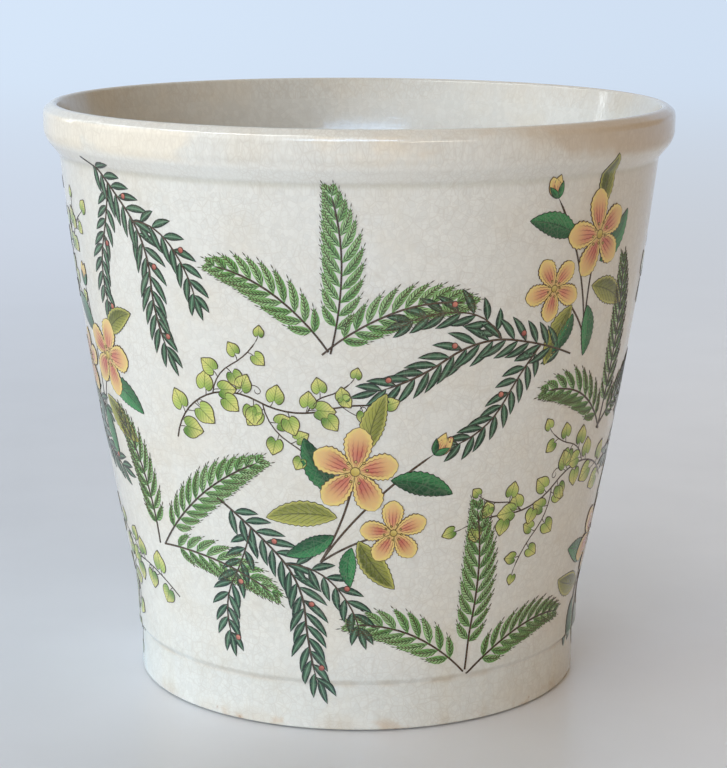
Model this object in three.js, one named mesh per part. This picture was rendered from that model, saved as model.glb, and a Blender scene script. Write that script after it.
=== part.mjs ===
// A round glazed planter: one fired pot with a heavy rolled rim, a slightly bellied taper, a short
// upright plinth and a stepped foot ring, standing on four thin felt dots.
// Millimetres, +Z up. The origin is on the table, under the middle of the pot.
import * as THREE from 'three';

// Outside of the pot. Heights are above the foot's lower face, drops are below the top of the lip.
const potHeight = 259.4;
const rimRadius = 140;
const bandDrop = 14;
const neckDrop = 22.2;
const neckRadius = 133.3;
const bellyHeight = 127.4;
const bellyRadius = 120.6;
const plinthHeight = 39.6;
const plinthRadius = 101.7;
const ledgeHeight = 23;
const footHeight = 20.6;
const footRadius = 100.1;

// Inside of the pot and its underside
const lipWidth = 6;
const wallThickness = 6;
const floorThickness = 8;
const footRingWidth = 12;
const recessDepth = 3;

// Roundings of the outside, from the lip down to the foot
const lipOuterRound = 3.6;
const bandRound = 10;
const neckFillet = 4;
const bellyRound = 1700;
const flareFillet = 55;
const ledgeRound = 2.2;
const footFillet = 1.6;
const footRound = 1.2;

// Roundings of the inside and the underside
const lipInnerRound = 1.8;
const throatRound = 120;
const floorFillet = 16;
const recessRound = 1.2;
const recessFillet = 1.5;

// Felt dots, stuck to the flat of the foot ring with a film of glue
const padCount = 4;
const padRadius = 4;
const padThickness = 0.5;
const glueFilm = 0.1;
const firstPadAngle = Math.PI / 4;

// Fineness of the round surfaces
const chordError = 0.08;
const samePoint = 1e-4;
const turnSegments = 72;
const padSegments = 24;

const glaze = new THREE.MeshStandardMaterial({ color: 0xe3ded2, roughness: 0.18, metalness: 0 });
const felt = new THREE.MeshStandardMaterial({ color: 0x8b8479, roughness: 0.95, metalness: 0 });

// A corner of the profile: its distance from the axis, its height and the radius that rounds it.
function corner(radius, height, round = 0) {
  return { point: new THREE.Vector2(radius, height), round };
}

// The bend of the profile at a corner, and how far its rounding reaches along both sides.
function bendAt(corners, index) {
  const { point, round } = corners[index];
  const inward = corners[index - 1].point.clone().sub(point).normalize();
  const outward = corners[index + 1].point.clone().sub(point).normalize();
  const turn = Math.PI - Math.acos(THREE.MathUtils.clamp(inward.dot(outward), -1, 1));
  return { inward, outward, turn, reach: round * Math.tan(turn / 2) };
}

// The share of its own rounding that a corner keeps where it would run into its neighbour's.
function roomFor(corners, bends, index) {
  let share = 1;
  for (const side of [index - 1, index + 1]) {
    const length = corners[index].point.distanceTo(corners[side].point);
    const neighbourReach = bends[side] ? bends[side].reach : 0;
    share = Math.min(share, length / (bends[index].reach + neighbourReach));
  }
  return share;
}

// The arc that rounds a corner, as points from one tangent point to the other.
function arcPoints(point, bend, radius) {
  const reach = radius * Math.tan(bend.turn / 2);
  const start = point.clone().addScaledVector(bend.inward, reach);
  const end = point.clone().addScaledVector(bend.outward, reach);
  const toCentre = bend.inward.clone().add(bend.outward).normalize();
  const centre = point.clone().addScaledVector(toCentre, radius / Math.cos(bend.turn / 2));
  const stepAngle = 2 * Math.acos(1 - chordError / radius);
  const steps = Math.max(2, Math.ceil(bend.turn / stepAngle));
  const side = Math.sign(start.clone().sub(centre).cross(end.clone().sub(centre)));
  const points = [];
  for (let step = 0; step <= steps; step += 1) {
    points.push(start.clone().rotateAround(centre, (side * bend.turn * step) / steps));
  }
  return points;
}

// The profile through the corners, each corner rounded by an arc tangent to both its sides.
function roundedProfile(corners) {
  const last = corners.length - 1;
  const bends = corners.map((item, index) => {
    const isEnd = index === 0 || index === last;
    return isEnd || item.round === 0 ? null : bendAt(corners, index);
  });
  const points = corners.flatMap((item, index) => {
    if (bends[index] === null) {
      return [item.point.clone()];
    }
    const radius = item.round * roomFor(corners, bends, index);
    return arcPoints(item.point, bends[index], radius);
  });
  return points.filter((point, index) => index === 0 || point.distanceTo(points[index - 1]) > samePoint);
}

// The inside wall under the belly runs parallel to the outside, down to the floor.
function floorCornerRadius(floorHeight) {
  const outerSlope = (bellyRadius - plinthRadius) / (bellyHeight - plinthHeight);
  return bellyRadius - wallThickness - outerSlope * (bellyHeight - floorHeight);
}

// The pot's section, from the middle of the underside, round the outside and back down the inside.
function potProfile() {
  const floorHeight = recessDepth + floorThickness;
  const recessRadius = footRadius - footRingWidth;
  const underside = [
    corner(0, recessDepth),
    corner(recessRadius, recessDepth, recessFillet),
    corner(recessRadius, 0, recessRound),
    corner(footRadius, 0, footRound),
  ];
  const outside = [
    corner(footRadius, footHeight, footFillet),
    corner(plinthRadius, ledgeHeight, ledgeRound),
    corner(plinthRadius, plinthHeight, flareFillet),
    corner(bellyRadius, bellyHeight, bellyRound),
    corner(neckRadius, potHeight - neckDrop, neckFillet),
    corner(rimRadius, potHeight - bandDrop, bandRound),
    corner(rimRadius, potHeight, lipOuterRound),
  ];
  const inside = [
    corner(rimRadius - lipWidth, potHeight, lipInnerRound),
    corner(neckRadius - wallThickness, potHeight - neckDrop, throatRound),
    corner(bellyRadius - wallThickness, bellyHeight, bellyRound),
    corner(floorCornerRadius(floorHeight), floorHeight, floorFillet),
    corner(0, floorHeight),
  ];
  return roundedProfile([...underside, ...outside, ...inside]);
}

// The fired pot, turned from its section and lifted onto the dots.
function makePot() {
  const geometry = new THREE.LatheGeometry(potProfile(), turnSegments);
  geometry.rotateX(Math.PI / 2);
  const pot = new THREE.Mesh(geometry, glaze);
  pot.name = 'pot';
  pot.position.z = padThickness + glueFilm;
  return pot;
}

// One felt dot, lying on the table under the middle of the foot ring's flat.
function makePad(number) {
  const geometry = new THREE.CylinderGeometry(padRadius, padRadius, padThickness, padSegments);
  geometry.rotateX(Math.PI / 2);
  const flatOuter = footRadius - footRound;
  const flatInner = footRadius - footRingWidth + recessRound;
  const circleRadius = (flatOuter + flatInner) / 2;
  const angle = firstPadAngle + (2 * Math.PI * number) / padCount;
  const pad = new THREE.Mesh(geometry, felt.clone());
  pad.name = `felt_dot_${number + 1}`;
  pad.position.set(circleRadius * Math.cos(angle), circleRadius * Math.sin(angle), padThickness / 2);
  return pad;
}

const planter = new THREE.Group();
planter.add(makePot());
for (let number = 0; number < padCount; number += 1) {
  planter.add(makePad(number));
}

export default planter;
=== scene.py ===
"""Looks of a round glazed planter: crackled cream glaze, a worn rim and foot, and a scattered plant print.

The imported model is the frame. Every piece is in metres in that frame, its place is in its mesh, and it rides
on the one body. Flat artwork is drawn with x to the right and y up, as seen from outside, and then laid on
the wall.
"""
import logging
import math
import random
from dataclasses import dataclass, field
from enum import Enum
from typing import Callable, ClassVar, Optional, Sequence, Union

import bmesh
import bpy
import numpy as np
from mathutils import Matrix, Vector


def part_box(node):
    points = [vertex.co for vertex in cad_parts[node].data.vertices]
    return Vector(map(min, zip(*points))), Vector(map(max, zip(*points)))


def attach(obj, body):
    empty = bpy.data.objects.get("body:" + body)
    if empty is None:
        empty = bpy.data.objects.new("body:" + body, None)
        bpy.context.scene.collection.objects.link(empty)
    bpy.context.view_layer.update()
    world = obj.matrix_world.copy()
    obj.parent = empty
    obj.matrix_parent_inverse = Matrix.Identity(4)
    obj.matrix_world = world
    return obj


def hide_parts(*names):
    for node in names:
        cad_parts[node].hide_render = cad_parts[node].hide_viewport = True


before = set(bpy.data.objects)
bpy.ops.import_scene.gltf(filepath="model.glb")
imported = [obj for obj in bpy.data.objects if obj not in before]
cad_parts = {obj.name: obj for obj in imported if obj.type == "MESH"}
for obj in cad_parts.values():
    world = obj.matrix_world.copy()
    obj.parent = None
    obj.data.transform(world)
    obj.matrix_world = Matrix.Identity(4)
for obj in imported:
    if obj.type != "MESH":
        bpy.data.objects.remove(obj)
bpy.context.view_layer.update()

LOG = logging.getLogger("planter")
IMAGE_WIDTH = 727
MM = 0.001
BODY = "root"
BAKE_MAP = "OFBake"
SAME_PLACE, MERGE_REACH = 1e-6, 1e-7
TOOTH_DEPTH, STEM_TIP = 0.10, 0.08
LEAF_DATA, LEAF_TINT = "leaf", "tint"

Colour = tuple[float, float, float]
Range = tuple[float, float]
Place = tuple[float, float, float]
Ramp = tuple[float, float, float, float]
Socket = bpy.types.NodeSocket
Sockets = dict[str, Socket]
Value = Union[Socket, float, Place]
Layer = bmesh.types.BMLayerItem
Material = bpy.types.Material
Points = Sequence[Vector]

# The inside's colour is painted shade: greyer and darker than the outside's glaze.
INSIDE_SHADED_COLOUR: Colour = (0.65, 0.655, 0.62)
GLAZE_IOR = 1.5


# Node trees


@dataclass(frozen=True)
class Band:
    """A mark that runs round the pot, full near its middle and gone further off."""

    middle: float
    full: float
    gone: float
    strength: float = 1.0


class Graph:
    """A node tree with short calls for the nodes that the finishes use."""

    def __init__(self, tree: bpy.types.NodeTree) -> None:
        """Keeps the tree."""
        self.tree = tree

    def node(self, kind: str, inputs: Optional[dict] = None, **settings: object) -> bpy.types.Node:
        """Adds a node.

        Args:
            kind: the node's type.
            inputs: what its inputs get, by name or number.
            settings: properties to set on it first.

        Returns:
            The node.
        """
        node = self.tree.nodes.new(kind)
        for name, value in settings.items():
            setattr(node, name, value)
        for name, value in (inputs or {}).items():
            self.feed(node.inputs[name], value)
        return node

    def feed(self, socket: Socket, value: Value) -> None:
        """Links a socket to another one, or sets its value.

        Args:
            socket: the input.
            value: an output socket, a number, a colour or a vector.
        """
        if isinstance(value, bpy.types.NodeSocket):
            self.tree.links.new(value, socket)
        elif isinstance(value, tuple) and len(value) == 3 and socket.type == "RGBA":
            socket.default_value = (*value, 1.0)
        else:
            socket.default_value = value

    def math(self, operation: str, *values: Value) -> Socket:
        """Returns the result of a Math node."""
        return self.node("ShaderNodeMath", dict(enumerate(values)), operation=operation).outputs[0]

    def times(self, first: Value, second: Value) -> Socket:
        """Returns the product of two numbers."""
        return self.math("MULTIPLY", first, second)

    def plus(self, first: Value, second: Value) -> Socket:
        """Returns the sum of two numbers."""
        return self.math("ADD", first, second)

    def gap(self, value: Value, middle: float) -> Socket:
        """Returns how far a number is from a middle."""
        return self.math("ABSOLUTE", self.math("SUBTRACT", value, middle))

    def ease(self, value: Value, start: Value, end: Value, low: Value = 0.0, high: Value = 1.0) -> Socket:
        """Returns the value eased from low at the start to high at the end."""
        given = {"Value": value, "From Min": start, "From Max": end, "To Min": low, "To Max": high}
        return self.node("ShaderNodeMapRange", given, interpolation_type="SMOOTHSTEP").outputs["Result"]

    def band(self, value: Value, band: Band) -> Socket:
        """Returns the share of a band at a height, or at another measure of the place."""
        return self.ease(self.gap(value, band.middle), band.full, band.gone, band.strength, 0.0)

    def vector(self, operation: str, first: Value, second: Value = (0.0, 0.0, 0.0)) -> Socket:
        """Returns the result of a Vector Math node, a number for DOT_PRODUCT or LENGTH."""
        node = self.node("ShaderNodeVectorMath", {0: first, 1: second}, operation=operation)
        return node.outputs["Value" if operation in ("DOT_PRODUCT", "LENGTH") else "Vector"]

    def distance(self, place: Value, centre: Place) -> Socket:
        """Returns the distance from a fixed point."""
        return self.vector("LENGTH", self.vector("SUBTRACT", place, centre))

    def from_axis(self, place: Value) -> Socket:
        """Returns the distance from the pot's axis."""
        return self.vector("LENGTH", self.vector("MULTIPLY", place, (1.0, 1.0, 0.0)))

    def scaled(self, vector: Value, factor: Value) -> Socket:
        """Returns a vector times a number."""
        node = self.node("ShaderNodeVectorMath", {0: vector, "Scale": factor}, operation="SCALE")
        return node.outputs["Vector"]

    def parts(self, vector: Value) -> tuple[Socket, Socket, Socket]:
        """Returns the three parts of a vector."""
        return tuple(self.node("ShaderNodeSeparateXYZ", {0: vector}).outputs)

    def whole(self, first: Value, second: Value, third: Value) -> Socket:
        """Returns a vector of three parts."""
        return self.node("ShaderNodeCombineXYZ", {0: first, 1: second, 2: third}).outputs[0]

    def mix(self, share: Value, first: Value, second: Value, blend: str = "MIX") -> Socket:
        """Returns a colour between two colours."""
        given = {0: share, 6: first, 7: second}
        node = self.node("ShaderNodeMix", given, data_type="RGBA", blend_type=blend, clamp_factor=True)
        return node.outputs[2]

    def shaded(self, colour: Value, tone: Value) -> Socket:
        """Returns a colour times a tone."""
        return self.mix(1.0, colour, self.whole(tone, tone, tone), "MULTIPLY")

    def mix_numbers(self, share: Value, first: Value, second: Value) -> Socket:
        """Returns a number between two numbers."""
        given = {0: share, 2: first, 3: second}
        return self.node("ShaderNodeMix", given, data_type="FLOAT", clamp_factor=True).outputs[0]

    def noise(
        self, vector: Value, scale: Value, detail: float = 2.0, roughness: float = 0.5, output: str = "Fac"
    ) -> Socket:
        """Returns a noise value of about 0.5 on average, or three of them as a colour."""
        given = {"Vector": vector, "Scale": scale, "Detail": detail, "Roughness": roughness}
        return self.node("ShaderNodeTexNoise", given).outputs[output]

    def cells(self, vector: Value, scale: Value, randomness: float, feature: str = "F1") -> bpy.types.Node:
        """Returns the node of a pattern of cells."""
        given = {"Vector": vector, "Scale": scale, "Randomness": randomness}
        return self.node("ShaderNodeTexVoronoi", given, feature=feature)

    def group(self, group: bpy.types.NodeTree, **values: Value) -> Sockets:
        """Places a group and feeds its inputs by name, with _ for a space.

        Args:
            group: the group.
            values: what its inputs get.

        Returns:
            Its outputs by name.
        """
        given = {name.replace("_", " "): value for name, value in values.items()}
        placed = self.node("ShaderNodeGroup", given, node_tree=group)
        return {socket.name: socket for socket in placed.outputs}

    def attribute(self, name: str, output: str) -> Socket:
        """Returns an attribute of the mesh."""
        return self.node("ShaderNodeAttribute", attribute_name=name).outputs[output]


class Surface(Graph):
    """The node tree of a material, with its shader and the place on the object in metres."""

    def __init__(self, name: str) -> None:
        """Makes the material.

        Args:
            name: its name.
        """
        self.material = bpy.data.materials.new(name)
        self.material.use_nodes = True
        super().__init__(self.material.node_tree)
        self.shader = self.tree.nodes["Principled BSDF"]
        self.place = self.node("ShaderNodeTexCoord").outputs["Object"]

    def dress(self, **values: Value) -> None:
        """Feeds the shader's inputs by name, with _ for a space."""
        for name, value in values.items():
            self.feed(self.shader.inputs[name.replace("_", " ")], value)

    def raised(self, height: Value) -> None:
        """Raises the surface by a height in metres, with a bump."""
        bump = self.node("ShaderNodeBump", {"Strength": 1.0, "Distance": 1.0, "Height": height})
        self.feed(self.shader.inputs["Normal"], bump.outputs["Normal"])


@dataclass
class Effects:
    """The effects that more than one finish uses, each a node group that is built once."""

    cell_size: float = 0.0023
    crack_width: float = 0.00030
    crack_depth: float = 0.00002
    cell_spread: float = 0.82
    wander: float = 0.0011
    wander_scale: float = 140.0
    nets: Sequence[Place] = ((2.4, 1.15, 1.0), (1.0, 1.0, 0.7))
    speck_scale: float = 420.0
    wave_scale: float = 26.0
    wave_height: float = 0.00022
    dimple_scale: float = 420.0
    dimple_height: float = 0.0000035

    def __post_init__(self) -> None:
        """Builds every group."""
        self.crackle = self.build("crackle", self.draw_crackle, "Vector", "Cell Size", "Crack Width")
        self.stains = self.build("stains", self.draw_stains, "Vector", "Patch Size", "Seed")
        self.glaze_skin = self.build("glaze_skin", self.draw_glaze_skin, "Vector")
        pen = ("Outline", "Veins", "Slant", "Vein Width", "Streaks")
        self.leaf_marks = self.build("leaf_marks", self.draw_leaf_marks, "Leaf", *pen)

    @staticmethod
    def build(
        name: str, draw: Callable[[Graph, Sockets], Sockets], vector: str, *numbers: str
    ) -> bpy.types.NodeTree:
        """Builds one group.

        Args:
            name: the group's name.
            draw: adds the nodes, from the input sockets to a dictionary of results, which are numbers.
            vector: the name of its vector input.
            numbers: names of its number inputs.

        Returns:
            The group.
        """
        tree = bpy.data.node_groups.new(name, "ShaderNodeTree")
        tree.interface.new_socket(vector, in_out="INPUT", socket_type="NodeSocketVector")
        for label in numbers:
            tree.interface.new_socket(label, in_out="INPUT", socket_type="NodeSocketFloat")
        graph = Graph(tree)
        given = graph.node("NodeGroupInput")
        drawn = draw(graph, {socket.name: socket for socket in given.outputs if socket.name})
        for label in drawn:
            tree.interface.new_socket(label, in_out="OUTPUT", socket_type="NodeSocketFloat")
        graph.node("NodeGroupOutput", drawn)
        return tree

    def crackled(self, graph: Graph, net: Value, size: float) -> Sockets:
        """Places the net of cracks in a material, and returns its outputs."""
        return graph.group(self.crackle, Vector=net, Cell_Size=size, Crack_Width=self.crack_width)

    def draw_crackle(self, graph: Graph, given: Sockets) -> Sockets:
        """Draws a net of long cracks, with finer ones between them.

        Args:
            graph: the group's graph.
            given: its inputs.

        Returns:
            The share of crack line, the tone of each cell and the height in metres.
        """
        stray = graph.noise(given["Vector"], self.wander_scale, output="Color")
        shifted = graph.vector("ADD", given["Vector"], graph.scaled(stray, self.wander))
        lines = []
        for factor, width, strength in self.nets:
            size = graph.times(given["Cell Size"], factor)
            scale = graph.math("DIVIDE", 1.0, size)
            cells = graph.cells(shifted, scale, self.cell_spread, "DISTANCE_TO_EDGE")
            reach = graph.times(cells.outputs["Distance"], size)
            line = graph.ease(reach, 0.0, graph.times(given["Crack Width"], width), 1.0, 0.0)
            lines.append(graph.times(line, strength))
        fade = graph.ease(graph.noise(given["Vector"], 60.0, 1.0), 0.25, 0.7, 0.45, 1.0)
        cracks = graph.times(graph.math("MAXIMUM", *lines), fade)
        tones = graph.cells(shifted, graph.math("DIVIDE", 1.0, given["Cell Size"]), self.cell_spread)
        tone = graph.parts(tones.outputs["Color"])[0]
        return {"Cracks": cracks, "Tone": tone, "Height": graph.times(cracks, -self.crack_depth)}

    def draw_stains(self, graph: Graph, given: Sockets) -> Sockets:
        """Draws soft warm patches and small brown specks.

        Args:
            graph: the group's graph.
            given: its inputs.

        Returns:
            The share of warm patch and of speck.
        """
        seed = given["Seed"]
        place = graph.vector("ADD", given["Vector"], graph.whole(seed, seed, seed))
        soft = graph.noise(place, graph.math("DIVIDE", 1.0, given["Patch Size"]), 4.0, 0.6)
        dots = graph.cells(place, self.speck_scale, 1.0)
        size = graph.ease(graph.parts(dots.outputs["Color"])[1], 0.55, 1.0, 0.0, 0.34)
        specks = graph.ease(graph.math("SUBTRACT", size, dots.outputs["Distance"]), 0.0, 0.1)
        return {"Warm": graph.ease(soft, 0.42, 0.72), "Specks": specks}

    def draw_glaze_skin(self, graph: Graph, given: Sockets) -> Sockets:
        """Draws the slow waves and fine dimples of fired glaze.

        Args:
            graph: the group's graph.
            given: its inputs.

        Returns:
            The height in metres, and a gloss variation around 0.5.
        """
        place = given["Vector"]
        waves = graph.times(graph.noise(place, self.wave_scale, 1.0), self.wave_height)
        dimples = graph.times(graph.noise(place, self.dimple_scale, 1.0), self.dimple_height)
        return {"Height": graph.plus(waves, dimples), "Gloss": graph.noise(place, 90.0, 3.0)}

    @staticmethod
    def draw_leaf_marks(graph: Graph, given: Sockets) -> Sockets:
        """Draws the pen marks of a leaf from its place along it, across it and from its edge in millimetres.

        Args:
            graph: the group's graph.
            given: its inputs.

        Returns:
            The shares of outline, vein and streak, and a shade from 0 on one half to 1 on the other.
        """
        along_leaf, across, edge = graph.parts(given["Leaf"])
        outline = graph.ease(edge, graph.times(given["Outline"], 0.6), given["Outline"], 1.0, 0.0)
        side = graph.math("ABSOLUTE", across)
        slanted = graph.math("SUBTRACT", along_leaf, graph.times(side, given["Slant"]))
        rib = graph.gap(graph.math("FRACT", graph.times(slanted, given["Veins"])), 0.5)
        side_vein = graph.ease(rib, 0.0, given["Vein Width"], 1.0, 0.0)
        fading = graph.ease(side, 0.55, 1.0, 1.0, 0.2)
        middle = graph.ease(side, 0.0, graph.times(given["Vein Width"], 0.75), 1.0, 0.0)
        vein = graph.math("MAXIMUM", graph.times(side_vein, fading), middle)
        lane = graph.math("FRACT", graph.plus(graph.times(across, given["Streaks"]), 0.5))
        streak = graph.ease(graph.gap(lane, 0.5), 0.06, 0.2, 1.0, 0.0)
        streak = graph.times(streak, graph.ease(along_leaf, 0.30, 0.78, 1.0, 0.0))
        return {"Line": outline, "Vein": vein, "Streak": streak, "Shade": graph.ease(across, -0.75, 0.75)}


# The pot's section


@dataclass(frozen=True)
class Corner:
    """A corner of the section, before it is rounded."""

    radius: float
    height: float
    rounding: float = 0.0


@dataclass
class Section:
    """The pot's section, from the middle of the underside round the outside and back down the inside.

    Everything is in metres. Heights are above the foot's face and drops are below the top of the lip. The
    slant of the lip's outside is a list of corners, each (inset from the rim's radius, drop, rounding).
    """

    rim_radius: float
    top: float
    foot_face: float
    band_drop: float = 0.014
    neck_drop: float = 0.0222
    neck_radius: float = 0.1333
    belly_height: float = 0.1274
    belly_radius: float = 0.1206
    plinth_height: float = 0.0396
    plinth_radius: float = 0.1017
    ledge_height: float = 0.023
    foot_height: float = 0.0206
    foot_radius: float = 0.1001
    lip_slant: Sequence[Place] = ((0.0, 0.0042, 0.005), (0.00045, 0.0024, 0.0018), (0.0034, 0.0, 0.003))
    lip_width: float = 0.006
    wall: float = 0.006
    floor: float = 0.008
    ring_width: float = 0.012
    recess: float = 0.003
    recess_fillet: float = 0.0015
    ring_round: float = 0.0012
    foot_fillet: float = 0.0016
    ledge_round: float = 0.0022
    flare_fillet: float = 0.055
    belly_round: float = 1.7
    neck_fillet: float = 0.004
    band_round: float = 0.010
    lip_inner_round: float = 0.0018
    throat_round: float = 0.12
    floor_fillet: float = 0.016
    chord_error: float = 0.000005
    probe: float = 0.0004
    path: list[Vector] = field(default_factory=list)

    def __post_init__(self) -> None:
        """Rounds the corners and keeps the path as points (radius, 0, height)."""
        lift, top = self.foot_face, self.top
        inner = self.foot_radius - self.ring_width
        slope = (self.belly_radius - self.plinth_radius) / (self.belly_height - self.plinth_height)
        floor = self.recess + self.floor
        corner_radius = self.belly_radius - self.wall - slope * (self.belly_height - floor)
        corners = [
            Corner(0.0, lift + self.recess),
            Corner(inner, lift + self.recess, self.recess_fillet),
            Corner(inner, lift, self.ring_round),
            Corner(self.foot_radius, lift, self.ring_round),
            Corner(self.foot_radius, lift + self.foot_height, self.foot_fillet),
            Corner(self.plinth_radius, lift + self.ledge_height, self.ledge_round),
            Corner(self.plinth_radius, lift + self.plinth_height, self.flare_fillet),
            Corner(self.belly_radius, lift + self.belly_height, self.belly_round),
            Corner(self.neck_radius, top - self.neck_drop, self.neck_fillet),
            Corner(self.rim_radius, top - self.band_drop, self.band_round),
            *(Corner(self.rim_radius - inset, top - drop, arc) for inset, drop, arc in self.lip_slant),
            Corner(self.rim_radius - self.lip_width, top, self.lip_inner_round),
            Corner(self.neck_radius - self.wall, top - self.neck_drop, self.throat_round),
            Corner(self.belly_radius - self.wall, lift + self.belly_height, self.belly_round),
            Corner(corner_radius, lift + floor, self.floor_fillet),
            Corner(0.0, lift + floor),
        ]
        self.path = self.rounded(corners)
        steps = [0.0] + [(b - a).length for a, b in zip(self.path[:-1], self.path[1:])]
        self.arcs = np.cumsum(steps)
        self.radii = np.array([point.x for point in self.path])
        self.heights = np.array([point.z for point in self.path])
        self.lip = int(np.argmax(self.heights))

    def rounded(self, corners: Sequence[Corner]) -> list[Vector]:
        """Rounds each corner of a wire with a bevel of its vertex.

        Args:
            corners: the corners in order.

        Returns:
            The points of the rounded path, in order.
        """
        wire = bmesh.new()
        places = [Vector((corner.radius, 0.0, corner.height)) for corner in corners]
        verts = [wire.verts.new(place) for place in places]
        for pair in zip(verts[:-1], verts[1:]):
            wire.edges.new(pair)
        start = verts[0]
        for index in range(1, len(corners) - 1):
            rounding = corners[index].rounding
            before = (places[index - 1] - places[index]).normalized()
            after = (places[index + 1] - places[index]).normalized()
            turn = math.pi - before.angle(after)
            step = 2.0 * math.acos(1.0 - self.chord_error / rounding)
            bmesh.ops.bevel(
                wire, geom=[verts[index]], offset=rounding * math.tan(turn / 2.0), offset_type="OFFSET",
                segments=max(3, math.ceil(turn / step)), profile=0.5, affect="VERTICES", material=-1,
                clamp_overlap=False,
            )
        path, last, here = [start.co.copy()], None, start
        while True:
            ahead = [edge for edge in here.link_edges if edge is not last]
            if not ahead:
                break
            last = ahead[0]
            here = last.other_vert(here)
            path.append(here.co.copy())
        wire.free()
        return path

    def outside_at(self, height: float) -> float:
        """Returns the arc length at which the outside reaches a height above the table."""
        outside = slice(0, self.lip + 1)
        keep = self.radii[outside] > self.foot_radius - self.ring_round
        return float(np.interp(height, self.heights[outside][keep], self.arcs[outside][keep]))

    def inside_at(self, height: float) -> float:
        """Returns the arc length at which the inside wall reaches a height above the table."""
        heights, arcs = self.heights[self.lip + 1:][::-1], self.arcs[self.lip + 1:][::-1]
        return float(np.interp(height, heights, arcs))

    def at(self, arc: float) -> Vector:
        """Returns the point of the path at an arc length."""
        return Vector((np.interp(arc, self.arcs, self.radii), 0.0, np.interp(arc, self.arcs, self.heights)))

    def normal_at(self, arc: float) -> Vector:
        """Returns the direction away from the clay at an arc length."""
        run = self.at(arc + self.probe) - self.at(arc - self.probe)
        return Vector((run.z, 0.0, -run.x)).normalized()

    def run(self, arcs: np.ndarray) -> tuple[np.ndarray, np.ndarray, np.ndarray, np.ndarray]:
        """Returns the radii, the heights and both parts of the outward direction at many arc lengths."""
        ahead, behind = arcs + self.probe, arcs - self.probe
        rise = np.interp(ahead, self.arcs, self.heights) - np.interp(behind, self.arcs, self.heights)
        widen = np.interp(ahead, self.arcs, self.radii) - np.interp(behind, self.arcs, self.radii)
        length = np.hypot(rise, widen)
        radii, heights = np.interp(arcs, self.arcs, self.radii), np.interp(arcs, self.arcs, self.heights)
        return radii, heights, rise / length, -widen / length

    def stretch(self, start: float, end: float) -> list[Vector]:
        """Returns the points of the path from one arc length to another, both included."""
        low, high = start + SAME_PLACE, end - SAME_PLACE
        within = [point for arc, point in zip(self.arcs, self.path) if low < arc < high]
        return [self.at(start), *within, self.at(end)]


# Finishes


class GlazeSurface(Surface):
    """The node tree of a glaze, with the measures that its marks follow."""

    def __init__(self, name: str, effects: Effects, section: Section) -> None:
        """Makes the material.

        Args:
            name: its name.
            effects: the shared effects.
            section: the pot's section.
        """
        super().__init__(name)
        self.x, _, self.height = self.parts(self.place)
        self.drop = self.math("SUBTRACT", section.top, self.height)
        self.inset = self.math("SUBTRACT", section.rim_radius, self.from_axis(self.place))
        self.streaks = self.noise(self.vector("MULTIPLY", self.place, (1.0, 1.0, 0.12)), 60.0, 3.0)
        self.stains = self.group(effects.stains, Vector=self.place, Patch_Size=0.034, Seed=0.31)


@dataclass(frozen=True)
class GlazeFinish:
    """Crackled cream glaze, as it is on the outside of the wall, with a painted warm shade on its upper right
    side. Heights are above the table, in metres.
    """

    name: str
    effects: Effects
    section: Section
    colour: Colour = (0.775, 0.765, 0.705)
    warm: Colour = (0.70, 0.60, 0.44)
    warmth: float = 0.26
    cell_tones: Range = (0.955, 1.02)
    crack_colour: Colour = (0.36, 0.26, 0.16)
    crack_share: float = 0.17
    roughness: float = 0.10
    gloss_spread: Range = (0.8, 1.35)
    # Painted warm shade on the upper right side of the wall.
    aged: Colour = (0.50, 0.37, 0.23)
    aged_share: float = 0.17
    aged_x: Range = (0.03, 0.115)
    aged_heights: Range = (0.16, 0.22)

    def build(self) -> Material:
        """Returns the material."""
        surface = GlazeSurface(self.name, self.effects, self.section)
        net, size = self.net(surface)
        crackle = self.effects.crackled(surface, net, size)
        skin = surface.group(self.effects.glaze_skin, Vector=surface.place)
        tone = surface.ease(crackle["Tone"], 0.0, 1.0, *self.cell_tones)
        warm = surface.times(surface.stains["Warm"], self.warmth)
        colour = surface.mix(warm, surface.shaded(self.fired(surface), tone), self.warm)
        colour = self.marked(surface, colour)
        cracks = surface.times(crackle["Cracks"], self.crack_share)
        spread = (self.roughness * share for share in self.gloss_spread)
        gloss = surface.ease(skin["Gloss"], 0.2, 0.8, *spread)
        surface.dress(
            Base_Color=surface.mix(cracks, colour, self.crack_colour),
            Roughness=surface.plus(gloss, surface.times(warm, 0.1)),
            IOR=GLAZE_IOR,
        )
        surface.raised(surface.plus(skin["Height"], crackle["Height"]))
        return surface.material

    def net(self, surface: GlazeSurface) -> tuple[Socket, float]:
        """Returns the place that the crackle reads, and its cell size."""
        return surface.place, self.effects.cell_size

    def fired(self, surface: GlazeSurface) -> Value:
        """Returns the colour of the plain glaze."""
        return self.colour

    def marked(self, surface: GlazeSurface, colour: Socket) -> Socket:
        """Returns the colour with its marks, here the painted warm shade of the upper right side."""
        return surface.mix(self.ageing(surface), colour, self.aged)

    def ageing(self, surface: GlazeSurface) -> Socket:
        """Returns the share of painted warm shade, which grows upwards and to the right."""
        upwards = surface.ease(surface.height, *self.aged_heights, 0.0, self.aged_share)
        return surface.times(surface.ease(surface.x, *self.aged_x), upwards)


@dataclass(frozen=True)
class InsideGlaze(GlazeFinish):
    """Glaze of the inside, with fewer marks. Its colour is painted shade: greyer and darker than the
    outside's, and darker still downwards.
    """

    colour: Colour = INSIDE_SHADED_COLOUR
    crack_share: float = 0.09
    # Painted shade that deepens down into the pot.
    deep: Colour = (0.59, 0.565, 0.51)
    deep_heights: Range = (0.25, 0.05)

    def marked(self, surface: GlazeSurface, colour: Socket) -> Socket:
        """Returns the colour with the painted shade, which darkens it downwards."""
        return surface.mix(surface.ease(surface.height, *self.deep_heights), colour, self.deep)


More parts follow.
